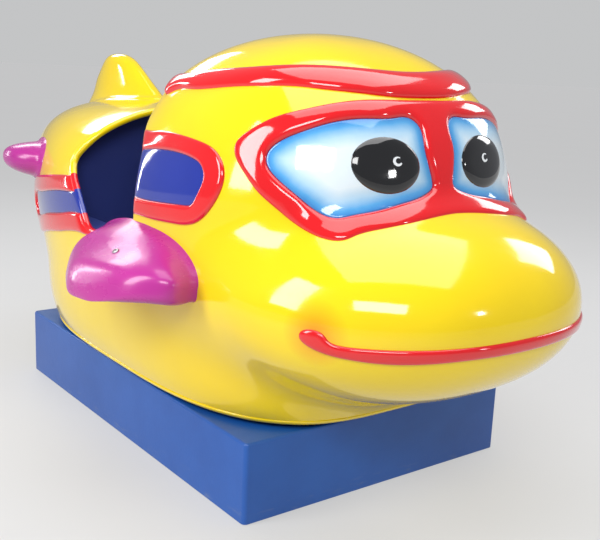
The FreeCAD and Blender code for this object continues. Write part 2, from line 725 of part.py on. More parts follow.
# ---------------------------------------------------------------- assembly
def main():
    """Build every node and write one STEP file for each."""
    os.makedirs("parts", exist_ok=True)
    grid = body_grid()
    outer = skin(grid, 0.0)
    inner = skin(grid, -BODY_WALL)
    lining = skin(grid, -BODY_WALL - 1.0)
    opening = side_prism(OPENING, -600, 600)

    save("body_shell", body_shell(outer, inner, opening))
    rim = skin(grid, 4.0).cut(outer)
    save("hull_rim", rim.common(box(-600, 600, -1300, 1300, HULL_BOTTOM, HULL_BOTTOM + 12)))

    eyes = [front_prism(EYE, -960, -440), front_prism(flip(EYE), -960, -440)]
    panel = skin(grid, PANEL_RELIEF)
    goggles = goggle_frame(outer, skin(grid, GOGGLE_RELIEF), eyes)
    save("goggle_frame", goggles)
    save("eye_panel_left", relief(eyes[0], outer, panel))
    save("eye_panel_right", relief(eyes[1], outer, panel))
    dome = skin(grid, PUPIL_RELIEF)
    save("pupil_left", pupil(1, panel, dome))
    save("pupil_right", pupil(-1, panel, dome))
    brow = side_prism(BROW, -600, 600)
    save("brow_band", relief(brow, outer, skin(grid, BROW_RELIEF)).cut(goggles))
    mouth = front_prism(mouth_outline(), -1100, -780)
    save("mouth_strip", relief(mouth, outer, skin(grid, MOUTH_RELIEF)))

    raised = skin(grid, WINDOW_RELIEF)
    surrounds = {}
    for name, frame, light in (("front", WINDOW_FRAME, WINDOW_LIGHT),
                               ("rear", REAR_FRAME, REAR_LIGHT)):
        lights = []
        frames = []
        for side in (1, -1):
            lo, hi = sorted((side * 250, side * 600))
            glass = side_prism(light, lo, hi).cut(opening)
            edge = side_prism(frame, lo, hi).cut(glass).cut(opening)
            lights.append(relief(glass, outer, panel))
            frames.append(relief(edge, outer, raised))
        save("window_" + name, *lights)
        save("window_frame_" + name, *frames)
        surrounds[name] = frames

    for side, name, surround in ((1, "left", surrounds["front"][0]),
                                 (-1, "right", surrounds["front"][1])):
        save("wing_" + name, wing(side).cut(outer).cut(surround))
        save("tailplane_" + name, tailplane(side).cut(outer))
    save("tail_fin", tail_fin().cut(outer))
    save("hull_bulkheads", *bulkheads(lining))

    save("cockpit_tub", cockpit_tub(lining))
    save("seat_cushion", box(-190, 190, 50, 290, SEAT_TOP, SEAT_TOP + 50))
    save("backrest_cushion", box(-150, 150, 283, 325, SEAT_TOP + 52, SEAT_TOP + 350))
    save("dashboard", dashboard(lining))
    save("steering_wheel", steering_wheel())
    save("steering_column", fuse([steering_column(), column_flange()]))
    save("button_bezels", button_ring(-190), button_ring(190))
    save("start_button_left", button_cap(190))
    save("start_button_right", button_cap(-190))

    save("base_cover", base_cover())
    save("base_frame", base_frame())
    save("drive_plate", drive_plate())
    save("gearbox_housing", gearbox_housing())
    save("drive_motor", drive_motor())
    save("motor_fan_cover", motor_fan_cover())
    shaft, arm, pin = crank()
    save("output_shaft", shaft)
    save("crank_arm", arm)
    save("crank_pin", pin)
    save("connecting_rod", connecting_rod())
    save("rod_bush", ring(97, CRANK_Y, ROD_PIN_Z, "x", 12, 8.03, 18))
    save("ride_pin", rod(80, CRANK_Y, ROD_PIN_Z, "x", 8, 52))
    save("ride_frame", ride_frame())
    save("hull_brackets", *outriggers())
    save("pivot_shaft", rod(-245, PIVOT_Y, PIVOT_Z, "x", SHAFT_R, 490))
    save("pivot_bearings", pillow_block(-1), pillow_block(1))
    save("pivot_stands", pivot_stand(-1), pivot_stand(1))
    save("rubber_buffers", *buffers())
    save("control_box", control_box())
    save("transformer", transformer())
    save("service_door", service_door())
    save("door_hinge", door_hinge())
    save("lock_barrel", lock_barrel())
    save("lock_cam", lock_cam())
    save("coin_panel", coin_panel())
    save("coin_cup", coin_cup())
    save("reject_button", reject_button())
    save("cash_box", cash_box())
    save("speaker_grille", speaker_grille())
    save("speaker", speaker())
    save("cable_gland", cable_gland())


main()
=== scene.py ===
import json
import math

import bmesh
import bpy
import numpy as np
from mathutils import Matrix, Vector
from mathutils.geometry import delaunay_2d_cdt


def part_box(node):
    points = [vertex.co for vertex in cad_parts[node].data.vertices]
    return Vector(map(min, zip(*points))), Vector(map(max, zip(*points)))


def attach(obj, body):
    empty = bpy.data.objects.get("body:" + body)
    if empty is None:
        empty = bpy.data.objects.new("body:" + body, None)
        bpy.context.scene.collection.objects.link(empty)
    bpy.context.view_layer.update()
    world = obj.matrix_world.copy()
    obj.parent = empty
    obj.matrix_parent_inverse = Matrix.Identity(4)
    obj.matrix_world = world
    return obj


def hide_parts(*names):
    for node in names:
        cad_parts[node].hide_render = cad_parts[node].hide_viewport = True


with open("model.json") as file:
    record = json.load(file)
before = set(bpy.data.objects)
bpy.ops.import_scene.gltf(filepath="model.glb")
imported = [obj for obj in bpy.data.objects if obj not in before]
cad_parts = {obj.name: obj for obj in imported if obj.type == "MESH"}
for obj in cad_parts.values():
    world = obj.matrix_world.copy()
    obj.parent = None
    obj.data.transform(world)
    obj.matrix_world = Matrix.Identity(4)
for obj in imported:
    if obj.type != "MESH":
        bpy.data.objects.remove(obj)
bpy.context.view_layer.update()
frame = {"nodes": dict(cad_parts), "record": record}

# ------------------------------------------------------------------ moulded body
# One glass-fibre moulding with a thick polished gelcoat. Head, snout, hull and tail run into
# each other in soft hollows; the cockpit is cut through both sides with a rolled lip.
# Each lobe: centre y and z, half width, length and height, roundness in plan and from the side.
HEAD = (-0.310, 0.773, 0.426, 0.452, 0.337, 2.69, 2.04)
HULL = (0.011, 0.467, 0.462, 0.725, 0.366, 3.24, 3.96)
TAIL = (0.474, 0.643, 0.366, 0.604, 0.251, 2.42, 2.81)
SNOUT = (-0.553, 0.509, 0.459, 0.494, 0.250, 2.30, 2.09)
BLENDS = (0.094, 0.103, 0.050)         # width of the hollows where hull, tail and snout join
HULL_BOTTOM = 0.210
SPINE = ((-0.600, 0.520), (0.600, 0.620))   # y and z of the line the skin's rows fan out from
ROWS_CAP, ROWS_MID, AROUND = 40, 72, 230
LIP_R = 0.010
LIP_STEPS = 10
LIP_TURN = math.radians(200)
WALL = 0.006
PAST_SIDES, PAST_ENDS = 0.7, 1.3       # cutters reach this far in x and in y
# Cockpit opening from the side, y and z in millimetres.
OPENING = ((-85, 960), (-85, 877), (-134, 815), (-153, 765), (-158, 700), (-156, 640),
           (-146, 596), (-110, 571), (70, 571), (118, 576), (146, 603), (219, 678),
           (261, 716), (277, 746), (267, 774), (257, 810), (250, 850), (250, 960))

YELLOW = (0.88, 0.64, 0.002)
YELLOW_DEEP = (0.74, 0.47, 0.003)
RED = (0.72, 0.004, 0.008)
RED_DEEP = (0.42, 0.002, 0.006)
BLUE_LIGHT = (0.008, 0.028, 0.31)
BLUE_DEEP = (0.006, 0.015, 0.20)
# The mouth's corners get orange painted shade, fading out within the reach below.
MOUTH_CORNERS = ((0.400, -0.833, 0.508), (-0.400, -0.833, 0.508))
MOUTH_SHADE = (0.78, 0.20, 0.004)
MOUTH_SHADE_REACH = 0.075
DUST = (0.42, 0.40, 0.36)


def lobe(p, cy, cz, a, b, c, plan, side):
    """Signed measure of one rounded lobe."""
    flat = (np.abs(p[:, 0] / a) ** plan + np.abs((p[:, 1] - cy) / b) ** plan) ** (side / plan)
    return ((flat + np.abs((p[:, 2] - cz) / c) ** side) ** (1 / side) - 1) * min(a, b, c)


def melt(a, b, k):
    """Smooth minimum over a width k."""
    h = np.clip(0.5 + 0.5 * (b - a) / k, 0, 1)
    return b * (1 - h) + a * h - k * h * (1 - h)


def body_field(p):
    """Zero on the body surface, negative inside."""
    value = melt(lobe(p, *HEAD), lobe(p, *HULL), BLENDS[0])
    value = melt(value, lobe(p, *TAIL), BLENDS[1])
    return melt(value, lobe(p, *SNOUT), BLENDS[2])


def slope(p, d=0.0006):
    """Gradient of the body field."""
    g = np.zeros_like(p)
    for i in range(3):
        step = np.zeros(3)
        step[i] = d
        g[:, i] = (body_field(p + step) - body_field(p - step)) / (2 * d)
    return g


def normals(p):
    """Outward unit normals of the body surface."""
    g = slope(p)
    return g / np.linalg.norm(g, axis=1, keepdims=True)


def settle(p, rounds=7):
    """Points moved onto the body surface."""
    p = np.array(p, float)
    for _ in range(rounds):
        g = slope(p)
        p = p - body_field(p)[:, None] * g / (g * g).sum(1, keepdims=True)
    return p


def cast(start, way, reach=1.6, halvings=30):
    """Where lines from inside the body leave its surface."""
    low = np.zeros(len(start))
    high = np.full(len(start), reach)
    for _ in range(halvings):
        mid = (low + high) / 2
        still_in = body_field(start + way * mid[:, None]) < 0
        low = np.where(still_in, mid, low)
        high = np.where(still_in, high, mid)
    return start + way * high[:, None]


def spline(points, count, closed=False):
    """Cubic spline through rows of numbers, spaced by chord, sampled evenly."""
    pts = np.array(points, float)
    if closed:
        pts = np.vstack([pts[-4:], pts, pts[:5]])
    gaps = np.linalg.norm(np.diff(pts, axis=0), axis=1)
    t = np.concatenate([[0], np.cumsum(gaps)])
    n = len(pts)
    h = np.diff(t)
    a = np.eye(n)
    r = np.zeros_like(pts)
    for i in range(1, n - 1):
        a[i, i - 1:i + 2] = (h[i - 1], 2 * (h[i - 1] + h[i]), h[i])
        r[i] = 6 * ((pts[i + 1] - pts[i]) / h[i] - (pts[i] - pts[i - 1]) / h[i - 1])
    m = np.linalg.solve(a, r)
    first, last = (t[4], t[n - 5]) if closed else (t[0], t[-1])
    u = np.linspace(first, last, count, endpoint=not closed)
    k = np.clip(np.searchsorted(t, u, side="right") - 1, 0, n - 2)
    x = ((u - t[k]) / h[k])[:, None]
    hk = h[k][:, None] ** 2 / 6
    return (pts[k] * (1 - x) + pts[k + 1] * x
            + hk * (((1 - x) ** 3 - (1 - x)) * m[k] + (x ** 3 - x) * m[k + 1]))


def inside(points, ring):
    """Which 2-D points are inside a closed outline."""
    x, y = points[:, 0][:, None], points[:, 1][:, None]
    x0, y0 = ring[:, 0][None], ring[:, 1][None]
    x1, y1 = np.roll(ring[:, 0], -1)[None], np.roll(ring[:, 1], -1)[None]
    level = (y0 > y) != (y1 > y)
    safe = np.where(y1 == y0, 1e-12, y1 - y0)
    hit = level & (x < (x1 - x0) * (y - y0) / safe + x0)
    return hit.sum(1) % 2 == 1


def distance(points, ring, closed=True):
    """Distance from 2-D points to an outline."""
    a = ring if closed else ring[:-1]
    b = np.roll(ring, -1, axis=0) if closed else ring[1:]
    best = np.full(len(points), 9.0)
    for p0, p1 in zip(a, b):
        d = p1 - p0
        t = np.clip(((points - p0) @ d) / max(d @ d, 1e-12), 0, 1)
        best = np.minimum(best, np.linalg.norm(points - p0 - t[:, None] * d, axis=1))
    return best


def grow(ring, by):
    """Closed outline moved outward."""
    along = np.roll(ring, -1, axis=0) - np.roll(ring, 1, axis=0)
    along /= np.linalg.norm(along, axis=1, keepdims=True)
    area = (ring[:, 0] * np.roll(ring[:, 1], -1) - np.roll(ring[:, 0], -1) * ring[:, 1]).sum()
    out = np.stack([along[:, 1], -along[:, 0]], 1) * math.copysign(1, area)
    return ring + out * by


def placed(name, data):
    """Object at the origin for a mesh, curve, light or camera."""
    obj = bpy.data.objects.new(name, data)
    bpy.context.scene.collection.objects.link(obj)
    return obj


def from_bmesh(name, bm, smooth=True):
    """Object from a finished bmesh, which is freed."""
    mesh = bpy.data.meshes.new(name)
    bm.to_mesh(mesh)
    bm.free()
    if smooth:
        mesh.shade_smooth()
    return placed(name, mesh)


def baked(obj):
    """Mesh of an object with its modifiers applied."""
    graph = bpy.context.evaluated_depsgraph_get()
    return bpy.data.meshes.new_from_object(obj.evaluated_get(graph))


def mesh_object(name, verts, faces, smooth=True):
    """Object from points and faces worked out on the body surface."""
    mesh = bpy.data.meshes.new(name)
    mesh.from_pydata([tuple(map(float, v)) for v in verts], [],
                     [tuple(map(int, f)) for f in faces])
    mesh.validate()
    if smooth:
        mesh.shade_smooth()
    return placed(name, mesh)


def band(rows, n):
    """Quads that join closed rows of n points."""
    return [(i * n + j, i * n + (j + 1) % n, (i + 1) * n + (j + 1) % n, (i + 1) * n + j)
            for i in range(rows - 1) for j in range(n)]


def face_out(obj):
    """Turn every face of a closed mesh outward."""
    bm = bmesh.new()
    bm.from_mesh(obj.data)
    bmesh.ops.recalc_face_normals(bm, faces=bm.faces)
    bm.to_mesh(obj.data)
    bm.free()
    return obj


def prism(name, ring, low, high):
    """Side-view outline carried along x as a closed cutter."""
    n = len(ring)
    verts = [(x, y, z) for x in (low, high) for y, z in ring]
    faces = [tuple(range(n))[::-1], tuple(range(n, 2 * n))]
    faces += [(i, (i + 1) % n, n + (i + 1) % n, n + i) for i in range(n)]
    return face_out(mesh_object(name, verts, faces, False))


def carve(obj, cutters):
    """Take closed cutters away from an object and drop them."""
    for tool in cutters:
        mod = obj.modifiers.new("carve", "BOOLEAN")
        mod.operation = "DIFFERENCE"
        mod.solver = "EXACT"
        mod.object = tool
    mesh = baked(obj)
    obj.modifiers.clear()
    obj.data = mesh
    for tool in cutters:
        bpy.data.objects.remove(tool)
    return obj


def box_mesh(name, x0, x1, y0, y1, z0, z1, bevel=0.0):
    """Box between two corners with rounded edges."""
    bm = bmesh.new()
    bmesh.ops.create_cube(bm, size=1.0)
    size = Vector((x1 - x0, y1 - y0, z1 - z0))
    middle = Vector(((x0 + x1) / 2, (y0 + y1) / 2, (z0 + z1) / 2))
    for v in bm.verts:
        v.co = Vector((v.co.x * size.x, v.co.y * size.y, v.co.z * size.z)) + middle
    if bevel:
        bmesh.ops.bevel(bm, geom=bm.edges[:], offset=bevel, segments=3, profile=0.5,
                        affect="EDGES", material=-1)
    return from_bmesh(name, bm)


def nodes_of(name):
    """New material with its node helpers."""
    mat = bpy.data.materials.new(name)
    mat.use_nodes = True
    tree = mat.node_tree
    bsdf = tree.nodes["Principled BSDF"]

    def node(kind, **values):
        made = tree.nodes.new(kind)
        for key, value in values.items():
            if key in made.inputs:
                made.inputs[key].default_value = value
            else:
                setattr(made, key, value)
        return made

    def link(a, b):
        tree.links.new(a, b)
    return mat, bsdf, node, link


def noise_of(node, link, coords, scale, detail=4.0, rough=0.55, stretch=None):
    """Noise factor at a scale, optionally stretched along an axis."""
    source = coords
    if stretch:
        mapping = node("ShaderNodeMapping")
        mapping.inputs["Scale"].default_value = stretch
        link(coords, mapping.inputs["Vector"])
        source = mapping.outputs["Vector"]
    noise = node("ShaderNodeTexNoise", Scale=scale, Detail=detail, Roughness=rough)
    link(source, noise.inputs["Vector"])
    return noise.outputs["Fac"]


def ramp_of(node, link, fac, stops):
    """Colour ramp from position and colour pairs."""
    ramp = node("ShaderNodeValToRGB")
    ramp.color_ramp.elements[0].position = stops[0][0]
    ramp.color_ramp.elements[0].color = (*stops[0][1], 1)
    ramp.color_ramp.elements[1].position = stops[-1][0]
    ramp.color_ramp.elements[1].color = (*stops[-1][1], 1)
    for place, colour in stops[1:-1]:
        ramp.color_ramp.elements.new(place).color = (*colour, 1)
    link(fac, ramp.inputs["Fac"])
    return ramp.outputs["Color"]


def mixed(node, link, fac, a, b):
    """Two colours mixed by a factor; each may be a socket or a colour."""
    mix = node("ShaderNodeMix", data_type="RGBA")
    for value, socket in ((fac, mix.inputs[0]), (a, mix.inputs[6]), (b, mix.inputs[7])):
        if isinstance(value, bpy.types.NodeSocket):
            link(value, socket)
        elif isinstance(value, (float, int)):
            socket.default_value = value
        else:
            socket.default_value = (*value, 1)
    return mix.outputs[2]


def ranged(node, link, fac, low, high, from_low=0.0, from_high=1.0):
    """A factor mapped to another range, clamped."""
    part = node("ShaderNodeMapRange")
    part.inputs["From Min"].default_value = from_low
    part.inputs["From Max"].default_value = from_high
    part.inputs["To Min"].default_value = low
    part.inputs["To Max"].default_value = high
    link(fac, part.inputs["Value"])
    return part.outputs["Result"]


def bumped(node, link, bsdf, height, strength, depth):
    """Bump from a height socket."""
    bump = node("ShaderNodeBump", Strength=strength, Distance=depth)
    link(height, bump.inputs["Height"])
    link(bump.outputs["Normal"], bsdf.inputs["Normal"])


def multiplied(node, link, a, b):
    """Product of a socket and a socket or number."""
    times = node("ShaderNodeMath", operation="MULTIPLY")
    link(a, times.inputs[0])
    if isinstance(b, bpy.types.NodeSocket):
        link(b, times.inputs[1])
    else:
        times.inputs[1].default_value = b
    return times.outputs[0]


def gelcoat(name, colour, deep, rough=0.085, coat=0.6, grime=0.5, shade_spots=()):
    """Polished gelcoat: mottling, orange peel, smears, dust low down, orange painted shade round
    given spots.
    """
    mat, bsdf, node, link = nodes_of(name)
    coords = node("ShaderNodeTexCoord").outputs["Object"]
    broad = noise_of(node, link, coords, 3.1, 3.0)
    tone = ranged(node, link, broad, 0.0, 0.30, 0.48, 0.80)
    base = mixed(node, link, tone, colour, deep)
    # Painted shade: orange laid round each spot, fading out with distance.
    for spot in shade_spots:
        away = node("ShaderNodeVectorMath", operation="DISTANCE")
        away.inputs[1].default_value = spot
        link(coords, away.inputs[0])
        fading = ranged(node, link, away.outputs["Value"], 0.75, 0.0, 0.012, MOUTH_SHADE_REACH)
        base = mixed(node, link, fading, base, MOUTH_SHADE)
    split = node("ShaderNodeSeparateXYZ")
    link(coords, split.inputs[0])
    low = ranged(node, link, split.outputs["Z"], 1.0, 0.0, 0.02, 0.34)
    fine = noise_of(node, link, coords, 38.0, 8.0, 0.65)
    speck = ranged(node, link, fine, 0.0, 1.0, 0.50, 0.72)
    amount = multiplied(node, link, multiplied(node, link, low, speck), 0.22 * grime)
    link(mixed(node, link, amount, base, DUST), bsdf.inputs["Base Color"])
    smear = noise_of(node, link, coords, 9.0, 6.0, 0.6, (1.0, 1.0, 2.6))
    link(ranged(node, link, smear, rough, rough + 0.12, 0.45, 0.85), bsdf.inputs["Roughness"])
    bsdf.inputs["Coat Weight"].default_value = coat
    bsdf.inputs["Coat Roughness"].default_value = 0.035
    bsdf.inputs["IOR"].default_value = 1.52
    peel = noise_of(node, link, coords, 150.0, 2.0, 0.5)
    wave = noise_of(node, link, coords, 14.0, 2.0, 0.5)
    bumped(node, link, bsdf, mixed(node, link, 0.78, peel, wave), 0.10, 0.0035)
    return mat


MATS = {
    "yellow": gelcoat("yellow", YELLOW, YELLOW_DEEP, 0.085, 0.45, shade_spots=MOUTH_CORNERS),
    "red": gelcoat("red", RED, RED_DEEP, 0.075, 0.8),
    "window_blue": gelcoat("window_blue", BLUE_LIGHT, BLUE_DEEP, 0.06, 0.9),
}


def body_rows():
    """Rows of surface points from the nose tip to the tail tip."""
    fans = []
    for i in range(1, ROWS_CAP + 1):
        fans.append((SPINE[0], math.pi / 2 * i / ROWS_CAP, -1.0))
    for i in range(1, ROWS_MID):
        t = i / ROWS_MID
        fans.append((tuple(a + (b - a) * t for a, b in zip(*SPINE)), math.pi / 2, 1.0))
    for i in range(ROWS_CAP, 0, -1):
        fans.append((SPINE[1], math.pi / 2 * i / ROWS_CAP, 1.0))
    turn = np.linspace(0, 2 * math.pi, AROUND, endpoint=False)
    rows = []
    for (y, z), lean, side in fans:
        way = np.stack([math.sin(lean) * np.cos(turn), np.full(AROUND, side * math.cos(lean)),
                        math.sin(lean) * np.sin(turn)], 1)
        rows.append(cast(np.tile([0.0, y, z], (AROUND, 1)), way))
    tips = [cast(np.array([[0.0, y, z]]), np.array([[0.0, s, 0.0]]))[0]
            for (y, z), s in ((SPINE[0], -1.0), (SPINE[1], 1.0))]
    return tips[0], rows, tips[1]


def body_solid(name):
    """Closed body surface."""
    front, rows, rear = body_rows()
    n = AROUND
    verts = np.vstack([front] + rows + [rear])
    faces = [(0, 1 + j, 1 + (j + 1) % n) for j in range(n)]
    for i in range(len(rows) - 1):
        a = 1 + i * n
        for j in range(n):
            k = (j + 1) % n
            faces.append((a + j, a + n + j, a + n + k, a + k))
    last = len(verts) - 1
    a = 1 + (len(rows) - 1) * n
    faces += [(last, a + (j + 1) % n, a + j) for j in range(n)]
    return face_out(mesh_object(name, verts, faces))


opening = spline(np.array(OPENING) / 1000.0, 260, True)
opening_wide = grow(opening, LIP_R)


def open_edge(p):
    """Unit direction in the skin towards the cockpit opening."""
    d = 0.0008
    flat = p[:, 1:]

    def signed(q):
        far = distance(q, opening_wide)
        return np.where(inside(q, opening_wide), -far, far)
    g = np.zeros_like(p)
    for i in range(2):
        step = np.zeros(2)
        step[i] = d
        g[:, i + 1] = signed(flat + step) - signed(flat - step)
    g = -g
    n = normals(p)
    g -= (g * n).sum(1, keepdims=True) * n
    return g / np.linalg.norm(g, axis=1, keepdims=True)


# Red surrounds and blue lights from the side, y and z in millimetres; they run on into the
# opening, where they are trimmed.
WINDOW_FRAME = ((-40, 848), (-130, 856), (-220, 862), (-316, 861), (-403, 854), (-458, 842),
                (-496, 817), (-511, 789), (-506, 747), (-483, 710), (-447, 678), (-404, 663),
                (-347, 658), (-263, 654), (-130, 648), (-40, 643))
WINDOW_LIGHT = ((-30, 803), (-110, 808), (-180, 813), (-254, 820), (-344, 820), (-402, 813),
                (-438, 798), (-451, 778), (-441, 743), (-422, 714), (-391, 707), (-304, 701),
                (-180, 696), (-110, 694), (-30, 691))
REAR_FRAME = ((60, 566), (150, 549), (300, 527), (450, 500), (568, 477), (650, 484),
              (700, 515), (712, 560), (690, 605), (640, 640), (577, 655), (430, 676),
              (300, 692), (180, 708), (60, 712))
REAR_LIGHT = ((60, 622), (150, 602), (300, 582), (450, 556), (568, 530), (630, 536),
              (655, 562), (630, 590), (559, 607), (430, 627), (300, 646), (180, 664), (60, 672))
front_frame = spline(np.array(WINDOW_FRAME) / 1000.0, 220, True)
front_light = spline(np.array(WINDOW_LIGHT) / 1000.0, 200, True)
rear_frame = spline(np.array(REAR_FRAME) / 1000.0, 240, True)
rear_light = spline(np.array(REAR_LIGHT) / 1000.0, 220, True)


def tint_at(p):
    """Paint index at skin points: 0 yellow, 1 red, 2 window blue."""
    flat = p[:, 1:]
    tint = np.zeros(len(p), int)
    for outer, light in ((front_frame, front_light), (rear_frame, rear_light)):
        tint[inside(flat, outer)] = 1
        tint[inside(flat, light)] = 2
    return tint


def body_skin():
    """Outer skin, open at the bottom, with the cockpit cut out and a rolled lip round it."""
    solid = body_solid("body_skin")
    hole = prism("hole", opening_wide, -PAST_SIDES, PAST_SIDES)
    below = box_mesh("below", -PAST_SIDES, PAST_SIDES, -PAST_ENDS, PAST_ENDS, -0.1, HULL_BOTTOM)
    carve(solid, [hole, below])
    bm = bmesh.new()
    bm.from_mesh(solid.data)
    centres = np.array([f.calc_center_median() for f in bm.faces])
    cut_face = np.abs(body_field(centres)) > 0.0025
    bmesh.ops.delete(bm, geom=[f for f, cut in zip(list(bm.faces), cut_face) if cut],
                     context="FACES")
    bmesh.ops.remove_doubles(bm, verts=bm.verts, dist=0.0004)
    border = [e for e in bm.edges if len(e.link_faces) == 1
              and e.verts[0].co.z > HULL_BOTTOM + 0.004]
    lip = list({v for e in border for v in e.verts})
    lip.sort(key=lambda v: tuple(v.co))
    q = settle([v.co for v in lip])
    nrm = normals(q)
    way = open_edge(q)
    columns = {v: [v] for v in lip}
    tints = dict(zip(lip, tint_at(q - way * 0.001)))
    for k in range(1, LIP_STEPS + 1):
        a = LIP_TURN * k / LIP_STEPS
        place = q + way * (LIP_R * math.sin(a)) - nrm * (LIP_R * (1 - math.cos(a)))
        for v, x in zip(lip, place):
            columns[v].append(bm.verts.new(x))
    for e in border:
        a, b = e.verts
        loop = next(x for x in e.link_faces[0].loops if x.edge == e)
        if loop.vert == a:
            a, b = b, a
        for k in range(LIP_STEPS):
            quad = bm.faces.new((columns[a][k], columns[b][k], columns[b][k + 1],
                                 columns[a][k + 1]))
            quad.smooth = True
            quad.material_index = max(tints[a], tints[b])
    bm.to_mesh(solid.data)
    bm.free()
    solid.data.shade_smooth()
    for key in ("yellow", "red", "window_blue"):
        solid.data.materials.append(MATS[key])
    return solid


def inner_skin(outer):
    """Rough laminate side of the moulding."""
    verts = np.array([v.co for v in outer.data.vertices])
    keep = np.abs(body_field(verts)) < 0.002
    faces = [tuple(f.vertices)[::-1] for f in outer.data.polygons
             if all(keep[i] for i in f.vertices)]
    verts = verts - normals(verts) * WALL
    return mesh_object("laminate", verts, faces)


def show(obj, slot_name, body, *nodes):
    """Finish a piece: material by slot name, moving body, and the CAD nodes it stands for, hidden.
    """
    if not obj.data.materials:
        obj.data.materials.append(MATS[slot_name])
    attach(obj, body)
    if nodes:
        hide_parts(*nodes)
    return obj


def laminate_paint():
    """Bare glass-fibre with resin over woven strands."""
    mat, bsdf, node, link = nodes_of("laminate")
    coords = node("ShaderNodeTexCoord").outputs["Object"]
    strands = noise_of(node, link, coords, 60.0, 6.0, 0.7, (1.0, 3.0, 1.0))
    colour = ramp_of(node, link, strands, [(0.3, (0.20, 0.16, 0.06)), (0.7, (0.42, 0.36, 0.16))])
    link(colour, bsdf.inputs["Base Color"])
    bsdf.inputs["Roughness"].default_value = 0.45
    bumped(node, link, bsdf, strands, 0.5, 0.002)
    return mat


skin = show(body_skin(), "yellow", "ride", "body_shell")
MATS["laminate"] = laminate_paint()
inner = inner_skin(skin)
inner.data.materials.append(MATS["laminate"])
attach(inner, "ride")


BEAD_POINTS, BEAD_STEPS = 420, 10
BEAD_R, BEAD_PROUD, BEAD_SINK = 0.006, 0.0042, 0.0002


def hull_bead():
    """Rounded bead round the lower edge of the hull."""
    turn = np.linspace(0, 2 * math.pi, BEAD_POINTS, endpoint=False)
    way = np.stack([np.cos(turn), np.sin(turn), 0 * turn], 1)
    rows = []
    for k in range(BEAD_STEPS + 1):
        a = math.pi * k / BEAD_STEPS
        z = HULL_BOTTOM + BEAD_R - BEAD_R * math.cos(a)
        p = cast(np.tile([0.0, 0.0, z], (BEAD_POINTS, 1)), way)
        proud = normals(p) * [1, 1, 0] * (BEAD_PROUD * math.sin(a))
        rows.append(p + proud - way * BEAD_SINK)
    return mesh_object("hull_bead", np.vstack(rows), band(BEAD_STEPS + 1, BEAD_POINTS))


show(hull_bead(), "yellow", "ride", "hull_rim")

# ------------------------------------------------------------------ painted relief on the face
# Goggles, brow and mouth are raised in the mould and sprayed red; the eye panels fade from
# white to sky blue, and each eye is a domed black oval with a small painted highlight.
AXIS_Y = -0.310
WRAP_R = 0.430
# Outlines in millimetres: x and z on the face; the brow's points have x, y and z.
GOGGLE_HALF = ((0, 964), (62, 964), (167, 963), (233, 954), (292, 938), (329, 923), (366, 895),
               (390, 863), (399, 830), (396, 795), (386, 762), (363, 729), (338, 697),
               (322, 684), (305, 680), (266, 691), (218, 703), (138, 715), (34, 725), (0, 726))
EYE = ((366, 838), (342, 872), (308, 893), (251, 915), (186, 925), (111, 927), (61, 925),
       (46, 911), (44, 872), (33, 801), (33, 779), (51, 767), (126, 749), (203, 734),
       (247, 726), (288, 722), (305, 732), (335, 763), (359, 794), (368, 818))
PUPIL_X, PUPIL_Z = 0.150, 0.828
PUPIL_WIDE, PUPIL_HIGH = 0.085, 0.061          # half width and half height
GLINT_SHIFT = {1: -0.004, -1: 0.020}           # highlight's place on the left and right pupil
BROW_LOW = ((0, -680, 969), (85, -675, 971), (158, -656, 977), (235, -608, 983),
            (266, -573, 986), (307, -509, 984), (339, -403, 976), (354, -255, 963),
            (353, -161, 952), (345, -118, 947))
BROW_HIGH = ((0, -614, 1024), (112, -597, 1028), (196, -555, 1031), (229, -521, 1030),
             (290, -405, 1019), (309, -268, 1007), (313, -160, 996), (322, -112, 983))
GOGGLE_RISE, BROW_RISE, WINDOW_RISE, MOUTH_RISE = 0.011, 0.015, 0.008, 0.007
PANEL_RISE, PUPIL_RISE = 0.0025, 0.0085
RING_STEPS = (0.04, 0.14, 0.30, 0.50, 0.74, 1.0)   # rows of points across a rounded edge
SNOUT_Y, FACE_Y = -0.553, -0.45                    # outlines are thrown forward from here
SIDES = ((1, "left"), (-1, "right"))


def wrapped(p):
    """Points on the head as arc length round its upright axis and height."""
    turn = np.arctan2(p[:, 0], -(p[:, 1] - AXIS_Y))
    return np.stack([turn * WRAP_R, p[:, 2]], 1)


def from_wrap(flat):
    """Surface points for arc length and height round the head."""
    turn = flat[:, 0] / WRAP_R
    start = np.stack([0 * turn, np.full(len(flat), AXIS_Y), flat[:, 1]], 1)
    way = np.stack([np.sin(turn), -np.cos(turn), 0 * turn], 1)
    return cast(start, way)


def from_front(flat):
    """Surface points for x and z seen from the front of the snout."""
    start = np.stack([flat[:, 0], np.full(len(flat), SNOUT_Y), flat[:, 1]], 1)
    return cast(start, np.tile([0.0, -1.0, 0.0], (len(flat), 1)))


def from_side(side):
    """Surface points for y and z seen from one side."""
    def place(flat):
        start = np.stack([np.zeros(len(flat)), flat[:, 0], flat[:, 1]], 1)
        return cast(start, np.tile([float(side), 0.0, 0.0], (len(flat), 1)))
    return place


def front_to_wrap(outline):
    """Outline given in x and z on the face, carried round the head."""
    flat = np.array(outline, float)
    start = np.stack([flat[:, 0], np.full(len(flat), FACE_Y), flat[:, 1]], 1)
    return wrapped(cast(start, np.tile([0.0, -1.0, 0.0], (len(flat), 1))))


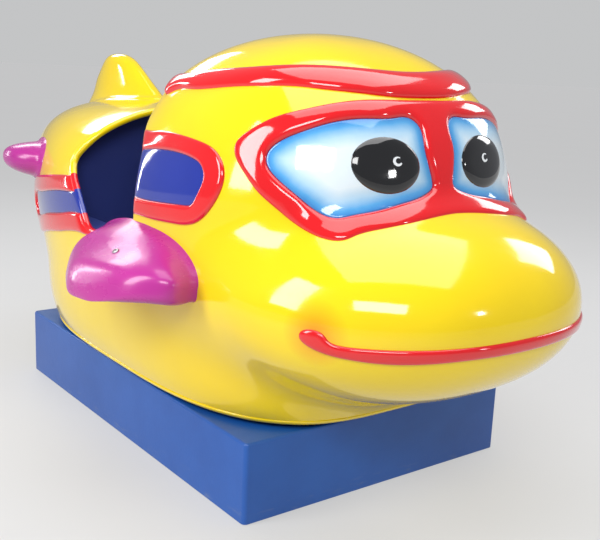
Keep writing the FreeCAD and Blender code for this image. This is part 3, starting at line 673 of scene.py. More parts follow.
def patch(name, outline, place, rise, rounding, holes=(), free=None, fade=None, spacing=0.009,
          sink=0.0008):
    """Relief plate on the body: triangles inside the outline, edges rounded down to the skin.

    Only the free edges are rounded, where they are given; fade lowers the plate elsewhere."""
    rims = [outline] + list(holes)
    rings = [rounding * f for f in RING_STEPS]

    def within(q):
        ok = inside(q, outline)
        for h in holes:
            ok &= ~inside(q, h)
        return ok

    def to_rim(q):
        return np.minimum.reduce([distance(q, r) for r in rims])
    low, high = outline.min(0), outline.max(0)
    xs = np.arange(low[0], high[0], spacing)
    ys = np.arange(low[1], high[1], spacing)
    mesh_grid = np.stack(np.meshgrid(xs, ys), -1).reshape(-1, 2)
    mesh_grid[:, 0] += (np.round((mesh_grid[:, 1] - low[1]) / spacing) % 2) * spacing / 2
    clear = to_rim(mesh_grid) > rounding + spacing * 0.45
    grid_points = mesh_grid[within(mesh_grid) & clear]
    loose = np.vstack([grow(rim, d * side) for rim in rims for d in rings for side in (-1, 1)])
    near = to_rim(loose)
    keep = within(loose) & (near > rings[0] * 0.9)
    loose, near = loose[keep], near[keep]
    off_ring = np.min([np.abs(near - d) for d in rings], axis=0)
    loose = loose[off_ring < rounding * 0.012]
    every = [Vector(p) for p in np.vstack(rims + [loose, grid_points])]
    edges = []
    start = 0
    for rim in rims:
        n = len(rim)
        edges += [(start + i, start + (i + 1) % n) for i in range(n)]
        start += n
    made = delaunay_2d_cdt(every, edges, [], 0, 1e-6)
    flat = np.array([tuple(v) for v in made[0]])
    tris = np.array([f for f in made[2] if len(f) == 3])
    tris = tris[within(flat[tris].mean(1))]
    used = np.unique(tris)
    index = np.full(len(flat), -1)
    index[used] = np.arange(len(used))
    flat = flat[used]
    tris = index[tris]
    d = np.minimum.reduce([distance(flat, r, free is None) for r in (free or rims)])
    t = np.clip(d / rounding, 0, 1)
    height = rise * np.sqrt(np.clip(1 - (1 - t) ** 2, 0, 1)) - np.where(t <= 0.001, sink, 0)
    if fade is not None:
        height = height * fade(flat)
    base = settle(place(flat))
    verts = base + normals(base) * height[:, None]
    a, b, c = verts[tris[:, 0]], verts[tris[:, 1]], verts[tris[:, 2]]
    out = (np.cross(b - a, c - a) * normals(base)[tris[:, 0]]).sum(1) < 0
    tris[out] = tris[out][:, ::-1]
    obj = mesh_object(name, verts, tris)
    edge = obj.data.attributes.new("rim", "FLOAT", "POINT")
    edge.data.foreach_set("value", to_rim(flat))
    return obj


eye_ring = spline(np.array(EYE) / 1000.0, 190, True)
half = np.array(GOGGLE_HALF) / 1000.0
goggle_ring = spline(np.vstack([half, (half * [-1, 1])[::-1][1:-1]]), 420, True)
goggle_flat = front_to_wrap(goggle_ring)
eye_flat = front_to_wrap(eye_ring)
eyes_flat = [eye_flat, (eye_flat * [-1, 1])[::-1]]
show(patch("goggles", goggle_flat, from_wrap, GOGGLE_RISE, 0.016, eyes_flat), "red", "ride",
     "goggle_frame")


def eye_paint():
    """Airbrushed eye panel: white middle, sky blue edges, deeper towards the outside."""
    mat, bsdf, node, link = nodes_of("eye_blue")
    coords = node("ShaderNodeTexCoord").outputs["Object"]
    rim = node("ShaderNodeAttribute", attribute_name="rim").outputs["Fac"]
    cloud = noise_of(node, link, coords, 11.0, 4.0, 0.6)
    wobble = ranged(node, link, cloud, -0.003, 0.003, 0.3, 0.7)
    depth = node("ShaderNodeMath", operation="ADD")
    link(rim, depth.inputs[0])
    link(wobble, depth.inputs[1])
    reach = ranged(node, link, depth.outputs[0], 0.0, 1.0, 0.0, 0.075)
    colour = ramp_of(node, link, reach, [(0.0, (0.030, 0.21, 0.58)), (0.16, (0.09, 0.36, 0.70)),
                                         (0.42, (0.42, 0.64, 0.82)), (0.75, (0.72, 0.82, 0.88))])
    link(colour, bsdf.inputs["Base Color"])
    smear = noise_of(node, link, coords, 16.0, 5.0)
    link(ranged(node, link, smear, 0.06, 0.15, 0.4, 0.8), bsdf.inputs["Roughness"])
    bsdf.inputs["Coat Weight"].default_value = 0.8
    bsdf.inputs["Coat Roughness"].default_value = 0.04
    bumped(node, link, bsdf, noise_of(node, link, coords, 60.0, 2.0), 0.10, 0.003)
    return mat


MATS["eye_blue"] = eye_paint()
MATS["black"] = gelcoat("black", (0.004, 0.004, 0.005), (0.010, 0.008, 0.010), 0.05, 1.0, 0.2)
MATS["highlight"] = gelcoat("highlight", (0.80, 0.84, 0.88), (0.60, 0.66, 0.72), 0.12, 0.5, 0.1)
around = np.linspace(0, 2 * math.pi, 90, endpoint=False)
turn = np.linspace(0.9, 2 * math.pi - 0.5, 40)
for side, name in SIDES:
    panel = patch("eye_" + name, eye_flat if side > 0 else eyes_flat[1], from_wrap, PANEL_RISE,
                  0.004, sink=0.0)
    show(panel, "eye_blue", "ride", "eye_panel_" + name)
    oval = np.stack([side * PUPIL_X + PUPIL_WIDE * np.cos(around),
                     PUPIL_Z + PUPIL_HIGH * np.sin(around)], 1)
    disc = patch("pupil_disc_" + name, front_to_wrap(oval), from_wrap, PUPIL_RISE, 0.030,
                 spacing=0.006)
    show(disc, "black", "ride", "pupil_" + name)
    cx = side * PUPIL_X + GLINT_SHIFT[side]
    comma = np.stack([cx + 0.012 * np.cos(turn), PUPIL_Z + 0.008 + 0.010 * np.sin(turn)], 1)
    bite = np.stack([cx + 0.002 + 0.0068 * np.cos(turn[::-1]),
                     PUPIL_Z + 0.009 + 0.0060 * np.sin(turn[::-1])], 1)
    glint = patch("glint_" + name, front_to_wrap(np.vstack([comma, bite])), from_wrap,
                  PUPIL_RISE + 0.0005, 0.0015, spacing=0.002, sink=0.0)
    base = settle([v.co for v in glint.data.vertices])
    lifted = base + normals(base) * (PUPIL_RISE + 0.0006)
    glint.data.vertices.foreach_set("co", lifted.ravel())
    glint.data.materials.append(MATS["highlight"])
    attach(glint, "ride")

low = wrapped(np.array(BROW_LOW) / 1000.0)
high = wrapped(np.array(BROW_HIGH) / 1000.0)
brow = np.vstack([(low * [-1, 1])[::-1], low[1:], high[::-1], (high * [-1, 1])[1:]])
show(patch("brow", spline(brow, 420, True), from_wrap, BROW_RISE, 0.020), "red", "ride",
     "brow_band")

MOUTH_LOW = ((-360, 466), (-180, 468), (0, 470), (180, 468), (360, 466), (392, 474))
MOUTH_HIGH = ((415, 500), (408, 517), (394, 516), (384, 500), (355, 493), (180, 497),
              (0, 499), (-180, 497), (-355, 493), (-384, 500), (-394, 516), (-408, 517),
              (-415, 500), (-392, 474))
mouth = spline(np.array(MOUTH_LOW + MOUTH_HIGH) / 1000.0, 360, True)
show(patch("mouth", mouth, from_front, MOUTH_RISE, 0.011, spacing=0.007), "red", "ride",
     "mouth_strip")

# ------------------------------------------------------------------ side windows
# Painted lights, not glass: a deep blue field inside a raised red surround on each side,
# running back to the cockpit and on again behind it.
LIGHT_RISE = 0.0012
RUN_OUT = 0.014


def trimmed(outline, cutter):
    """Outline without the part inside the cutter; also the kept run on its own."""
    out = ~inside(outline, cutter)
    start = next(i for i in range(len(outline)) if out[i] and not out[i - 1])
    order = [(start + i) % len(outline) for i in range(len(outline))]
    run = [i for i in order if out[i]]
    kept = outline[run]
    path = cutter[inside(cutter, outline)]
    first = np.argmin(np.linalg.norm(path - kept[-1], axis=1))
    path = np.roll(path, -first, axis=0)
    if np.linalg.norm(path[-1] - kept[-1]) < np.linalg.norm(path[1] - kept[-1]):
        path = np.roll(path[::-1], 1, axis=0)
    return np.vstack([kept, path]), kept


def soften(q):
    """Share of the relief left near the cockpit's lip, where it runs out."""
    return np.clip(distance(q, opening_wide) / RUN_OUT, 0, 1) ** 0.5


for name, outer, light in (("front", front_frame, front_light), ("rear", rear_frame, rear_light)):
    ring_outer, run_outer = trimmed(outer, opening_wide)
    ring_light, run_light = trimmed(light, opening_wide)
    frames, lights = [], []
    for side in (1, -1):
        frames.append(patch("frame_" + name + str(side), ring_outer, from_side(side), WINDOW_RISE,
                            0.010, [ring_light], [run_outer, run_light], soften))
        lights.append(patch("light_" + name + str(side), ring_light, from_side(side), LIGHT_RISE,
                            0.002, (), [run_light], soften, sink=0.0))
    for a, key in ((frames, "red"), (lights, "window_blue")):
        node_name = ("window_frame_" if key == "red" else "window_") + name
        show(a[0], key, "ride", node_name)
        show(a[1], key, "ride")

# ------------------------------------------------------------------ wings, tailplanes and fin
# Hollow mouldings on the sides: fat rounded stubs in magenta, the wings held by a bolt each,
# and a yellow fin that grows out of the tail in a soft fillet.
# Wing sections from root to tip: x, y, z, half chord, half depth, rise along the chord, arch.
WING_ROWS = ((0.400, -0.216, 0.590, 0.262, 0.057, 0.07, 0.130),
             (0.470, -0.223, 0.580, 0.256, 0.056, 0.034, 0.183),
             (0.540, -0.240, 0.551, 0.259, 0.052, -0.020, 0.078),
             (0.590, -0.253, 0.529, 0.201, 0.046, -0.085, 0.028),
             (0.620, -0.261, 0.519, 0.139, 0.037, -0.087, 0.012),
             (0.636, -0.247, 0.500, 0.080, 0.024, -0.084, 0.008),
             (0.641, -0.246, 0.496, 0.0, 0.0, -0.03, 0.02))
# Tailplane sections: x, y, z, half chord, half depth. Fin: z, y, half length, half width.
TAILPLANE_ROWS = ((0.270, 0.650, 0.686, 0.155, 0.070), (0.340, 0.662, 0.690, 0.135, 0.062),
                  (0.400, 0.676, 0.694, 0.108, 0.053), (0.445, 0.686, 0.698, 0.080, 0.041),
                  (0.468, 0.690, 0.700, 0.052, 0.027), (0.477, 0.692, 0.701, 0.0, 0.0))
FIN_ROWS = ((0.800, 0.785, 0.270, 0.130), (0.860, 0.786, 0.258, 0.092),
            (0.900, 0.795, 0.238, 0.064), (0.940, 0.818, 0.200, 0.050),
            (0.975, 0.832, 0.157, 0.042), (1.005, 0.843, 0.116, 0.036),
            (1.024, 0.850, 0.078, 0.028), (1.033, 0.853, 0.042, 0.016),
            (1.036, 0.855, 0.0, 0.0))
WING_POWER, TAILPLANE_POWER, FIN_POWER = 3.4, 2.2, 2.0     # squareness of the sections
WING_FILLET, TAIL_FILLET = 0.005, 0.012
WING_LEAN = 0.25
STUB_POINTS = 96
STUB_SAMPLES, TIP_PACKING = 400, 1.7
FILLET_SHARE = 0.93                                        # rows past this are the tip
BOLT_X, BOLT_Y, BOLT_R = 0.560, -0.270, 0.009


def stub(name, centres, longs, shorts, power, fillet, arch=None):
    """Rounded stub through oval sections, filleted into the body and closed at its tip."""
    turn = np.linspace(0, 2 * math.pi, STUB_POINTS, endpoint=False)
    c = np.sign(np.cos(turn)) * np.abs(np.cos(turn)) ** (2 / power)
    s = np.sign(np.sin(turn)) * np.abs(np.sin(turn)) ** (2 / power)
    grid = (centres[:, None] + c[None, :, None] * longs[:, None]
            + s[None, :, None] * shorts[:, None])
    if arch is not None:
        grid[:, :, 2] -= arch[:, None] * c[None, :] ** 2
    rows, n = grid.shape[:2]
    along = np.gradient(grid, axis=0)
    around = np.roll(grid, -1, axis=1) - np.roll(grid, 1, axis=1)
    out = np.cross(around, along).reshape(-1, 3)
    size = np.linalg.norm(out, axis=1, keepdims=True)
    out = out / np.where(size == 0, 1, size)
    flat = grid.reshape(-1, 3)
    away = (flat - np.repeat(centres, n, axis=0))
    flip = np.sign((out * away).sum(1).reshape(rows, n).sum(1))
    out *= np.repeat(np.where(flip == 0, 1, flip), n)[:, None]
    d = np.clip(body_field(flat), 0, fillet)
    flare = fillet - np.sqrt(np.clip(fillet ** 2 - (fillet - d) ** 2, 0, None))
    keep = np.linspace(0, 1, rows) < FILLET_SHARE
    flat = flat + out * (flare * np.repeat(keep, n))[:, None]
    verts = np.vstack([flat, centres[-1:]])
    faces = band(rows - 1, n)
    i = (rows - 2) * n
    faces += [(i + j, i + (j + 1) % n, rows * n) for j in range(n)]
    faces.append(tuple(range(n))[::-1])
    return face_out(mesh_object(name, verts, faces))


def stub_rows(table, count=46):
    """Table rows eased into many more, packed towards the tip."""
    t = spline(np.array(table), STUB_SAMPLES)
    pick = (1 - (1 - np.linspace(0, 1, count)) ** TIP_PACKING) * (STUB_SAMPLES - 1)
    return t[np.round(pick).astype(int)]


def seat_on_body(piece):
    """Cut a root off just behind the body's outer skin, so none of it shows in the cockpit."""
    core = body_solid("core")
    p = np.array([v.co for v in core.data.vertices])
    p -= normals(p) * WALL * 0.6
    core.data.vertices.foreach_set("co", p.ravel())
    carve(piece, [core])
    piece.data.set_sharp_from_angle(angle=math.radians(50))


def bolt_head(name, target, x, y, radius):
    """Domed button-head bolt seated on top of a piece."""
    bpy.context.view_layer.update()
    _, place, way, _ = target.ray_cast(Vector((x, y, 1.5)), Vector((0, 0, -1)))
    bm = bmesh.new()
    bmesh.ops.create_cone(bm, cap_ends=True, segments=28, radius1=radius, radius2=radius,
                          depth=radius * 0.7)
    top = max(bm.faces, key=lambda f: f.calc_center_median().z)
    rim = list(top.edges)
    bmesh.ops.bevel(bm, geom=rim, offset=radius * 0.45, segments=5, profile=0.5,
                    affect="EDGES", material=-1)
    top = max(bm.faces, key=lambda f: (round(f.calc_center_median().z, 6), f.calc_area()))
    bmesh.ops.inset_individual(bm, faces=[top], thickness=radius * 0.12)
    bmesh.ops.translate(bm, vec=(0, 0, -radius * 0.35), verts=top.verts[:])
    turn = way.to_track_quat("Z", "Y").to_matrix().to_4x4()
    bmesh.ops.transform(bm, matrix=Matrix.Translation(place + way * radius * 0.2) @ turn,
                        verts=bm.verts)
    obj = from_bmesh(name, bm)
    obj.data.set_sharp_from_angle(angle=math.radians(35))
    return obj


MATS["magenta"] = gelcoat("magenta", (0.46, 0.028, 0.27), (0.24, 0.012, 0.22), 0.24, 0.20)
bolts = []
for side, name in SIDES:
    r = stub_rows(WING_ROWS)
    r[:, 3:5] = np.clip(r[:, 3:5], 0, None)
    zero = 0 * r[:, 0]
    wing = stub("wing_skin_" + name, np.stack([side * r[:, 0], r[:, 1], r[:, 2]], 1),
                np.stack([zero, r[:, 3], r[:, 3] * r[:, 5]], 1),
                np.stack([-side * r[:, 4] * WING_LEAN, zero, r[:, 4]], 1),
                WING_POWER, WING_FILLET, r[:, 3] * r[:, 6])
    seat_on_body(wing)
    show(wing, "magenta", "ride", "wing_" + name)
    bolts.append(bolt_head("wing_bolt_" + name, wing, side * BOLT_X, BOLT_Y, BOLT_R))
    r = stub_rows(TAILPLANE_ROWS)
    r[:, 3:] = np.clip(r[:, 3:], 0, None)
    zero = 0 * r[:, 0]
    plane = stub("tailplane_skin_" + name, np.stack([side * r[:, 0], r[:, 1], r[:, 2]], 1),
                 np.stack([zero, r[:, 3], zero], 1), np.stack([zero, zero, r[:, 4]], 1),
                 TAILPLANE_POWER, TAIL_FILLET)
    show(plane, "magenta", "ride", "tailplane_" + name)
r = stub_rows(FIN_ROWS, 60)
r[:, 2:] = np.clip(r[:, 2:], 0, None)
zero = 0 * r[:, 0]
fin = stub("fin_skin", np.stack([zero, r[:, 1], r[:, 0]], 1), np.stack([zero, r[:, 2], zero], 1),
           np.stack([r[:, 3], zero, zero], 1), FIN_POWER, TAIL_FILLET)
show(fin, "yellow", "ride", "tail_fin")

# ------------------------------------------------------------------ base cover
# Moulded glass-fibre box that hides the drive: plain blue, satin, with softly rounded corners,
# openings in the top for the rocking frame and in one side for the service fittings.
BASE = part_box("base_cover")
BASE_WALL = 0.005
LUG_GAP = (0.160, 0.205)                   # x of the slots for the ride frame's lugs
ROD_GAP = (0.070, 0.150)                   # x of the slot for the connecting rod
LUG_REACH, ROD_REACH = 0.034, 0.060        # half length of each slot in y
SIDE_GAPS = (("door_gap", -0.180, 0.180, 0.030, 0.170), ("coin_gap", -0.438, -0.352, 0.040, 0.160),
             ("grille_gap", 0.250, 0.370, 0.060, 0.150))    # y and z of each


def base_gelcoat():
    """Satin blue gelcoat with roller mottling and scuffs along the foot."""
    mat, bsdf, node, link = nodes_of("base_blue")
    coords = node("ShaderNodeTexCoord").outputs["Object"]
    cloud = noise_of(node, link, coords, 4.0, 5.0, 0.6)
    tone = ranged(node, link, cloud, 0.0, 1.0, 0.35, 0.75)
    base = mixed(node, link, tone, (0.008, 0.092, 0.40), (0.006, 0.070, 0.32))
    split = node("ShaderNodeSeparateXYZ")
    link(coords, split.inputs[0])
    foot = ranged(node, link, split.outputs["Z"], 1.0, 0.0, 0.0, 0.05)
    scuff = noise_of(node, link, coords, 70.0, 8.0, 0.7, (0.25, 0.25, 1.0))
    worn = ranged(node, link, scuff, 0.0, 1.0, 0.55, 0.68)
    amount = multiplied(node, link, multiplied(node, link, foot, worn), 0.45)
    link(mixed(node, link, amount, base, (0.16, 0.20, 0.30)), bsdf.inputs["Base Color"])
    link(ranged(node, link, cloud, 0.34, 0.50), bsdf.inputs["Roughness"])
    bsdf.inputs["Coat Weight"].default_value = 0.15
    bsdf.inputs["Coat Roughness"].default_value = 0.2
    peel = noise_of(node, link, coords, 120.0, 3.0, 0.6)
    wave = noise_of(node, link, coords, 7.0, 2.0, 0.5)
    bumped(node, link, bsdf, mixed(node, link, 0.6, peel, wave), 0.16, 0.004)
    return mat


def cover_shape():
    """Solid box with rounded uprights and top edges, before it is hollowed and cut."""
    (x0, y0, z0), (x1, y1, z1) = BASE
    bm = bmesh.new()
    bmesh.ops.create_cube(bm, size=1.0)
    for v in bm.verts:
        v.co = Vector((v.co.x * (x1 - x0), v.co.y * (y1 - y0), z0 + (v.co.z + 0.5) * (z1 - z0)))
    upright = [e for e in bm.edges if abs(e.verts[0].co.z - e.verts[1].co.z) > 0.1]
    bmesh.ops.bevel(bm, geom=upright, offset=0.012, segments=8, profile=0.5, affect="EDGES",
                    material=-1)
    top = [e for e in bm.edges if all(v.co.z > z1 - 0.001 for v in e.verts)]
    bmesh.ops.bevel(bm, geom=top, offset=0.0075, segments=5, profile=0.5, affect="EDGES",
                    material=-1)
    return from_bmesh("base_box", bm, False)


def top_slot(name, x0, x1, middle, reach):
    """Cutter for a slot through the top of the cover."""
    return box_mesh(name, x0, x1, middle - reach, middle + reach, 0.15, 0.3)


cover = cover_shape()
w = BASE_WALL
bx, by, bz = BASE[1]
pivot_y = sum(corner.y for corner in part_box("pivot_shaft")) / 2
crank_y = sum(corner.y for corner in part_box("connecting_rod")) / 2
cutters = [box_mesh("room", -bx + w, bx - w, -by + w, by - w, -0.1, bz - w, 0.006),
           top_slot("lug_a", -LUG_GAP[1], -LUG_GAP[0], pivot_y, LUG_REACH),
           top_slot("lug_b", *LUG_GAP, pivot_y, LUG_REACH),
           top_slot("rod_gap", *ROD_GAP, crank_y, ROD_REACH)]
cutters += [box_mesh(name, bx - 0.02, bx + 0.02, *sides) for name, *sides in SIDE_GAPS]
carve(cover, cutters)
cover.data.shade_smooth()
cover.data.set_sharp_from_angle(angle=math.radians(40))
MATS["base_blue"] = base_gelcoat()
show(cover, "base_blue", "base", "base_cover")

# ------------------------------------------------------------------ cushions
# Seat and backrest: foam on a board, wrapped in navy vinyl with a piped seam. The foam is blown
# up as cloth under a little pressure, and kept inside the block that the frame gives it.
FOAM_INSET, FOAM_EDGE = 0.010, 0.012
CLOTH_FRAMES, CLOTH_PRESSURE = 20, 4.0
SWELL_MOST = 0.016
SEAT_CROWN = 0.004                     # how far the seat may stand over its block
PIPING_R = 0.0035
PIPING_INSET, PIPING_BEND, PIPING_STEPS = 0.006, 0.028, 10
PIPING_LEVEL = 0.010                   # seam's depth below the front of the cushion


def vinyl(name, colour, deep):
    """Embossed vinyl: leather grain, soft sheen, painted shade in the creases."""
    mat, bsdf, node, link = nodes_of(name)
    coords = node("ShaderNodeTexCoord").outputs["Object"]
    cells = node("ShaderNodeTexVoronoi", feature="DISTANCE_TO_EDGE", Scale=420.0)
    link(coords, cells.inputs["Vector"])
    grain = ranged(node, link, cells.outputs["Distance"], 0.0, 1.0, 0.0, 0.12)
    cloud = noise_of(node, link, coords, 12.0, 6.0, 0.6)
    tone = ranged(node, link, cloud, 0.0, 1.0, 0.3, 0.7)
    base = mixed(node, link, tone, colour, deep)
    # Painted shade: the grain's creases are darkened towards near black.
    crease_shaded = mixed(node, link, ranged(node, link, grain, 0.5, 0.0), base, (0.002, 0.003, 0.012))
    link(crease_shaded, bsdf.inputs["Base Color"])
    link(ranged(node, link, cloud, 0.36, 0.52), bsdf.inputs["Roughness"])
    bumped(node, link, bsdf, grain, 0.35, 0.0006)
    return mat


def cushion(node_name, front):
    """Cushion blown up from a block, held inside its CAD solid."""
    lo, hi = (Vector(c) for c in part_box(node_name))
    inset = Vector((FOAM_INSET, FOAM_INSET, FOAM_INSET))
    lo2, hi2 = lo + inset, hi - inset
    block = box_mesh(node_name + "_foam", lo2.x, hi2.x, lo2.y, hi2.y, lo2.z, hi2.z, FOAM_EDGE)
    remesh = block.modifiers.new("remesh", "REMESH")
    remesh.mode = "VOXEL"
    remesh.voxel_size = 0.006
    mesh = baked(block)
    bpy.data.objects.remove(block)
    pad = placed(node_name + "_cover", mesh)
    before = np.array([v.co for v in mesh.vertices])
    cloth = pad.modifiers.new("cloth", "CLOTH")
    cloth.settings.use_pressure = True
    cloth.settings.uniform_pressure_force = CLOTH_PRESSURE
    cloth.settings.effector_weights.gravity = 0.0
    cloth.settings.quality = 5
    cloth.point_cache.frame_start = 1
    cloth.point_cache.frame_end = CLOTH_FRAMES
    for f in range(1, CLOTH_FRAMES + 1):
        bpy.context.scene.frame_set(f)
    graph = bpy.context.evaluated_depsgraph_get()
    after = np.array([v.co for v in pad.evaluated_get(graph).data.vertices])
    pad.modifiers.clear()
    bpy.context.scene.frame_set(1)
    move = after - before
    length = np.linalg.norm(move, axis=1, keepdims=True)
    move *= np.minimum(1, SWELL_MOST / np.maximum(length, 1e-9))
    after = before + move
    inside_lo, inside_hi = np.array(lo) + 0.0005, np.array(hi) - 0.0005
    inside_hi[2] += SEAT_CROWN if front == 2 else 0
    after = np.clip(after, inside_lo, inside_hi)
    mesh.vertices.foreach_set("co", after.ravel())
    mesh.update()
    mesh.shade_smooth()
    soft = pad.modifiers.new("soft", "SUBSURF")
    soft.levels = 1
    soft.render_levels = 1
    show(pad, "vinyl", "ride", node_name)
    return lo, hi


def piping(name, path):
    """Round welt along a closed path."""
    curve = bpy.data.curves.new(name, "CURVE")
    curve.dimensions = "3D"
    curve.bevel_depth = PIPING_R
    curve.bevel_resolution = 3
    line = curve.splines.new("POLY")
    line.points.add(len(path) - 1)
    for point, place in zip(line.points, path):
        point.co = (*place, 1)
    line.use_cyclic_u = True
    welt_line = placed(name + "_line", curve)
    mesh = baked(welt_line)
    bpy.data.objects.remove(welt_line)
    mesh.shade_smooth()
    return placed(name, mesh)


def loop_round(lo, hi, front, level):
    """Rounded rectangle round a cushion at one level of its thickness."""
    a, b = [i for i in range(3) if i != front]
    edge = PIPING_INSET + PIPING_BEND
    path = []
    corners = ((1, 1, 0), (-1, 1, 90), (-1, -1, 180), (1, -1, 270))
    for sa, sb, start in corners:
        ca = hi[a] - edge if sa > 0 else lo[a] + edge
        cb = hi[b] - edge if sb > 0 else lo[b] + edge
        for i in range(PIPING_STEPS + 1):
            t = math.radians(start + 90 * i / PIPING_STEPS)
            point = [0.0, 0.0, 0.0]
            point[front] = level
            point[a] = ca + PIPING_BEND * math.cos(t)
            point[b] = cb + PIPING_BEND * math.sin(t)
            path.append(point)
    return path


MATS["vinyl"] = vinyl("vinyl", (0.030, 0.045, 0.22), (0.018, 0.026, 0.13))
MATS["piping"] = vinyl("piping", (0.55, 0.40, 0.02), (0.40, 0.28, 0.02))
for node_name, front, side in (("seat_cushion", 2, 1), ("backrest_cushion", 1, -1)):
    lo, hi = cushion(node_name, front)
    level = (hi[front] - PIPING_LEVEL) if side > 0 else (lo[front] + PIPING_LEVEL)
    welt = piping(node_name + "_piping", loop_round(lo, hi, front, level))
    welt.data.materials.append(MATS["piping"])
    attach(welt, "ride")

# ------------------------------------------------------------------ fittings and drive
# Everything else keeps its machined or moulded shape and gets its own finish: painted steel,
# zinc and chrome, cast iron, rubber, plastics and the ply in the hull. The wings' bolts get
# theirs here too.


def grained(name, colour, deep, rough, scale, bump, depth, metal=0.0, stretch=None, coat=0.0,
            wear=None):
    """Finish with fine grain, broad tone shifts and rubbed patches."""
    mat, bsdf, node, link = nodes_of(name)
    coords = node("ShaderNodeTexCoord").outputs["Object"]
    grain = noise_of(node, link, coords, scale, 6.0, 0.65, stretch)
    cloud = noise_of(node, link, coords, 11.0, 5.0, 0.6)
    base = mixed(node, link, ranged(node, link, cloud, 0.0, 1.0, 0.3, 0.7), colour, deep)
    if wear:
        chips = noise_of(node, link, coords, 26.0, 9.0, 0.72)
        shown = ranged(node, link, chips, 0.0, 1.0, 0.66, 0.69)
        base = mixed(node, link, shown, base, wear)
    link(base, bsdf.inputs["Base Color"])
    link(ranged(node, link, grain, rough * 0.8, min(1.0, rough * 1.3), 0.3, 0.7),
         bsdf.inputs["Roughness"])
    bsdf.inputs["Metallic"].default_value = metal
    bsdf.inputs["Coat Weight"].default_value = coat
    bumped(node, link, bsdf, grain, bump, depth)
    return mat


def plywood():
    """Birch ply: long grain lines and paler bands."""
    mat, bsdf, node, link = nodes_of("wood")
    coords = node("ShaderNodeTexCoord").outputs["Object"]
    grain = noise_of(node, link, coords, 9.0, 10.0, 0.6, (14.0, 1.0, 5.0))
    colour = ramp_of(node, link, grain, [(0.3, (0.42, 0.25, 0.11)), (0.5, (0.60, 0.41, 0.21)),
                                         (0.7, (0.52, 0.33, 0.15))])
    link(colour, bsdf.inputs["Base Color"])
    bsdf.inputs["Roughness"].default_value = 0.62
    bumped(node, link, bsdf, grain, 0.2, 0.001)
    return mat


FINISHES = {
    "black_plastic": dict(colour=(0.012, 0.012, 0.013), deep=(0.022, 0.022, 0.023), rough=0.42,
                          scale=240.0, bump=0.2, depth=0.0006),
    "green_plastic": dict(colour=(0.01, 0.33, 0.045), deep=(0.008, 0.22, 0.03), rough=0.22,
                          scale=160.0, bump=0.08, depth=0.0005, coat=0.4),
    "red_plastic": dict(colour=(0.62, 0.01, 0.01), deep=(0.45, 0.006, 0.008), rough=0.22,
                        scale=160.0, bump=0.08, depth=0.0005, coat=0.4),
    "grey_plastic": dict(colour=(0.3, 0.31, 0.32), deep=(0.24, 0.25, 0.26), rough=0.5,
                         scale=220.0, bump=0.2, depth=0.0006),
    "frame_paint": dict(colour=(0.03, 0.032, 0.036), deep=(0.045, 0.047, 0.05), rough=0.36,
                        scale=130.0, bump=0.15, depth=0.0008, coat=0.1, wear=(0.3, 0.29, 0.27)),
    "gear_paint": dict(colour=(0.055, 0.12, 0.17), deep=(0.04, 0.09, 0.13), rough=0.45,
                       scale=120.0, bump=0.3, depth=0.0012, wear=(0.22, 0.22, 0.22)),
    "motor_paint": dict(colour=(0.05, 0.1, 0.22), deep=(0.04, 0.08, 0.17), rough=0.4, scale=120.0,
                        bump=0.2, depth=0.001, coat=0.1, wear=(0.25, 0.25, 0.25)),
    "door_paint": dict(colour=(0.012, 0.105, 0.46), deep=(0.01, 0.08, 0.37), rough=0.34,
                       scale=130.0, bump=0.15, depth=0.0006, coat=0.2),
    "steel": dict(colour=(0.5, 0.49, 0.47), deep=(0.36, 0.35, 0.34), metal=1.0, rough=0.34,
                  scale=60.0, stretch=(1.0, 1.0, 9.0), bump=0.15, depth=0.0006,
                  wear=(0.2, 0.12, 0.07)),
    "stainless": dict(colour=(0.6, 0.6, 0.61), deep=(0.5, 0.5, 0.51), metal=1.0, rough=0.28,
                      scale=55.0, stretch=(1.0, 12.0, 1.0), bump=0.1, depth=0.0004),
    "chrome": dict(colour=(0.8, 0.8, 0.82), deep=(0.7, 0.7, 0.72), metal=1.0, rough=0.08,
                   scale=90.0, bump=0.03, depth=0.0004),
    "bronze": dict(colour=(0.55, 0.33, 0.13), deep=(0.4, 0.23, 0.09), metal=1.0, rough=0.32,
                   scale=90.0, stretch=(1.0, 1.0, 7.0), bump=0.12, depth=0.0005),
    "iron": dict(colour=(0.1, 0.1, 0.105), deep=(0.07, 0.07, 0.072), metal=0.7, rough=0.55,
                 scale=140.0, bump=0.5, depth=0.0014, wear=(0.16, 0.08, 0.04)),
    "rubber": dict(colour=(0.018, 0.018, 0.018), deep=(0.03, 0.029, 0.027), rough=0.72,
                   scale=200.0, bump=0.35, depth=0.0008),
    "core": dict(colour=(0.16, 0.15, 0.14), deep=(0.11, 0.1, 0.1), metal=0.8, rough=0.5,
                 scale=70.0, stretch=(1.0, 1.0, 18.0), bump=0.6, depth=0.0012),
}
for key, values in FINISHES.items():
    MATS[key] = grained(key, **values)
MATS["wood"] = plywood()
MATS["navy"] = gelcoat("navy", (0.030, 0.045, 0.20), (0.020, 0.030, 0.13), 0.30, 0.15, 0.6)
for bolt in bolts:
    show(bolt, "stainless", "ride")
SLOTS = {part["node"]: part["material_slot"] for part in frame["record"]["subparts"]}
for name, obj in frame["nodes"].items():
    for place in obj.material_slots:
        place.material = MATS[SLOTS[name]]

# ------------------------------------------------------------------ studio
# Plain pale floor under a pale sky, large soft lights on the left, at the front left and
# overhead, and weaker ones on the right and behind.
CAMERA_AT = (-1.499, -2.215, 1.046)
CAMERA_AZ, CAMERA_EL, CAMERA_ROLL = math.radians(-37.39), math.radians(12.94), math.radians(2.46)
LENS, SENSOR = 55.16, 36.0
FLOOR_HALF = 60.0
FLOOR_GLOW = 0.46
SKY_LIGHT, SKY_SEEN = 0.32, 0.58           # strength as a light, and as the camera sees it


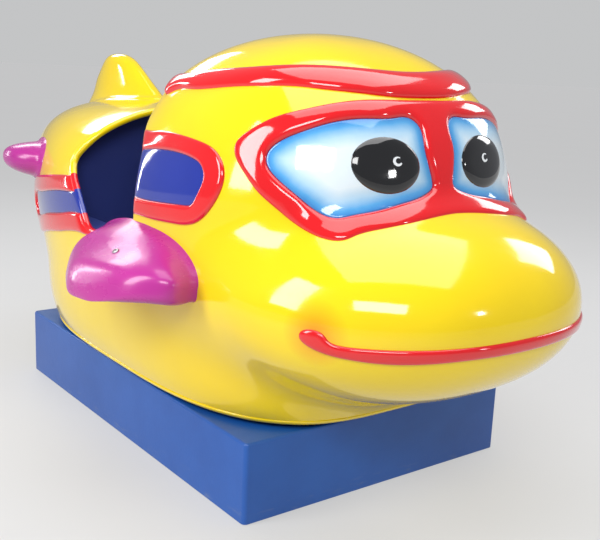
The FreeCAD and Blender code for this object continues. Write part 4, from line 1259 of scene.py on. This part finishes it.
def floor():
    """Flat floor with a faint glow of its own, so that it stays pale far from the lights."""
    bm = bmesh.new()
    bmesh.ops.create_grid(bm, x_segments=2, y_segments=2, size=FLOOR_HALF)
    obj = from_bmesh("floor", bm, False)
    mat, bsdf, node, link = nodes_of("floor")
    coords = node("ShaderNodeTexCoord").outputs["Object"]
    cloud = noise_of(node, link, coords, 1.3, 4.0)
    grey = mixed(node, link, cloud, (0.22, 0.22, 0.22), (0.25, 0.25, 0.25))
    link(grey, bsdf.inputs["Base Color"])
    bsdf.inputs["Roughness"].default_value = 0.7
    bsdf.inputs["Emission Color"].default_value = (1.0, 1.0, 1.0, 1)
    bsdf.inputs["Emission Strength"].default_value = FLOOR_GLOW
    obj.data.materials.append(mat)
    return obj


def softbox(name, place, target, width, height, power):
    """Rectangular light aimed at a point."""
    light = bpy.data.lights.new(name, "AREA")
    light.shape = "RECTANGLE"
    light.size = width
    light.size_y = height
    light.energy = power
    obj = placed(name, light)
    obj.location = place
    obj.rotation_euler = (Vector(target) - Vector(place)).to_track_quat("-Z", "Y").to_euler()


floor()
softbox("left", (-2.85, 0.00, 2.05), (-0.38, -0.60, 0.70), 1.00, 2.10, 62.0)
softbox("front_left", (-2.00, -2.70, 2.45), (-0.30, -0.90, 0.58), 1.90, 0.80, 50.0)
softbox("rear_left", (-1.60, 2.90, 1.20), (-0.45, -0.10, 0.75), 0.16, 1.20, 9.0)
softbox("front_right", (1.10, -3.60, 1.60), (-0.10, -0.75, 0.80), 0.22, 0.22, 6.0)
softbox("top", (0.30, -0.60, 3.60), (0.0, -0.40, 0.50), 3.20, 3.20, 78.0)
softbox("right", (3.40, -0.60, 2.40), (0.20, -0.30, 0.50), 1.20, 1.20, 24.0)
softbox("behind", (0.40, 3.60, 2.60), (0.0, 0.40, 0.60), 1.60, 0.80, 24.0)
world = bpy.data.worlds.new("studio")
world.use_nodes = True
tree = world.node_tree
glow = tree.nodes["Background"]
glow.inputs["Color"].default_value = (0.92, 0.94, 1.0, 1)
glow.inputs["Strength"].default_value = SKY_LIGHT
sky = tree.nodes.new("ShaderNodeBackground")
sky.inputs["Color"].default_value = (0.95, 0.96, 0.97, 1)
sky.inputs["Strength"].default_value = SKY_SEEN
paths = tree.nodes.new("ShaderNodeLightPath")
either = tree.nodes.new("ShaderNodeMixShader")
tree.links.new(paths.outputs["Is Camera Ray"], either.inputs["Fac"])
tree.links.new(glow.outputs[0], either.inputs[1])
tree.links.new(sky.outputs[0], either.inputs[2])
tree.links.new(either.outputs[0], tree.nodes["World Output"].inputs["Surface"])
bpy.context.scene.world = world
bpy.context.scene.view_settings.view_transform = "Standard"

back = Vector((math.sin(CAMERA_AZ) * math.cos(CAMERA_EL),
               -math.cos(CAMERA_AZ) * math.cos(CAMERA_EL), math.sin(CAMERA_EL)))
right = Vector((0, 0, 1)).cross(back).normalized()
up = back.cross(right)
level_x = right * math.cos(CAMERA_ROLL) + up * math.sin(CAMERA_ROLL)
level_y = up * math.cos(CAMERA_ROLL) - right * math.sin(CAMERA_ROLL)
lens = bpy.data.cameras.new("camera")
lens.lens = LENS
lens.sensor_width = SENSOR
lens.clip_end = FLOOR_HALF
camera = placed("camera", lens)
turned = Matrix((level_x, level_y, back)).transposed().to_4x4()
camera.matrix_world = Matrix.Translation(CAMERA_AT) @ turned
bpy.context.scene.camera = camera
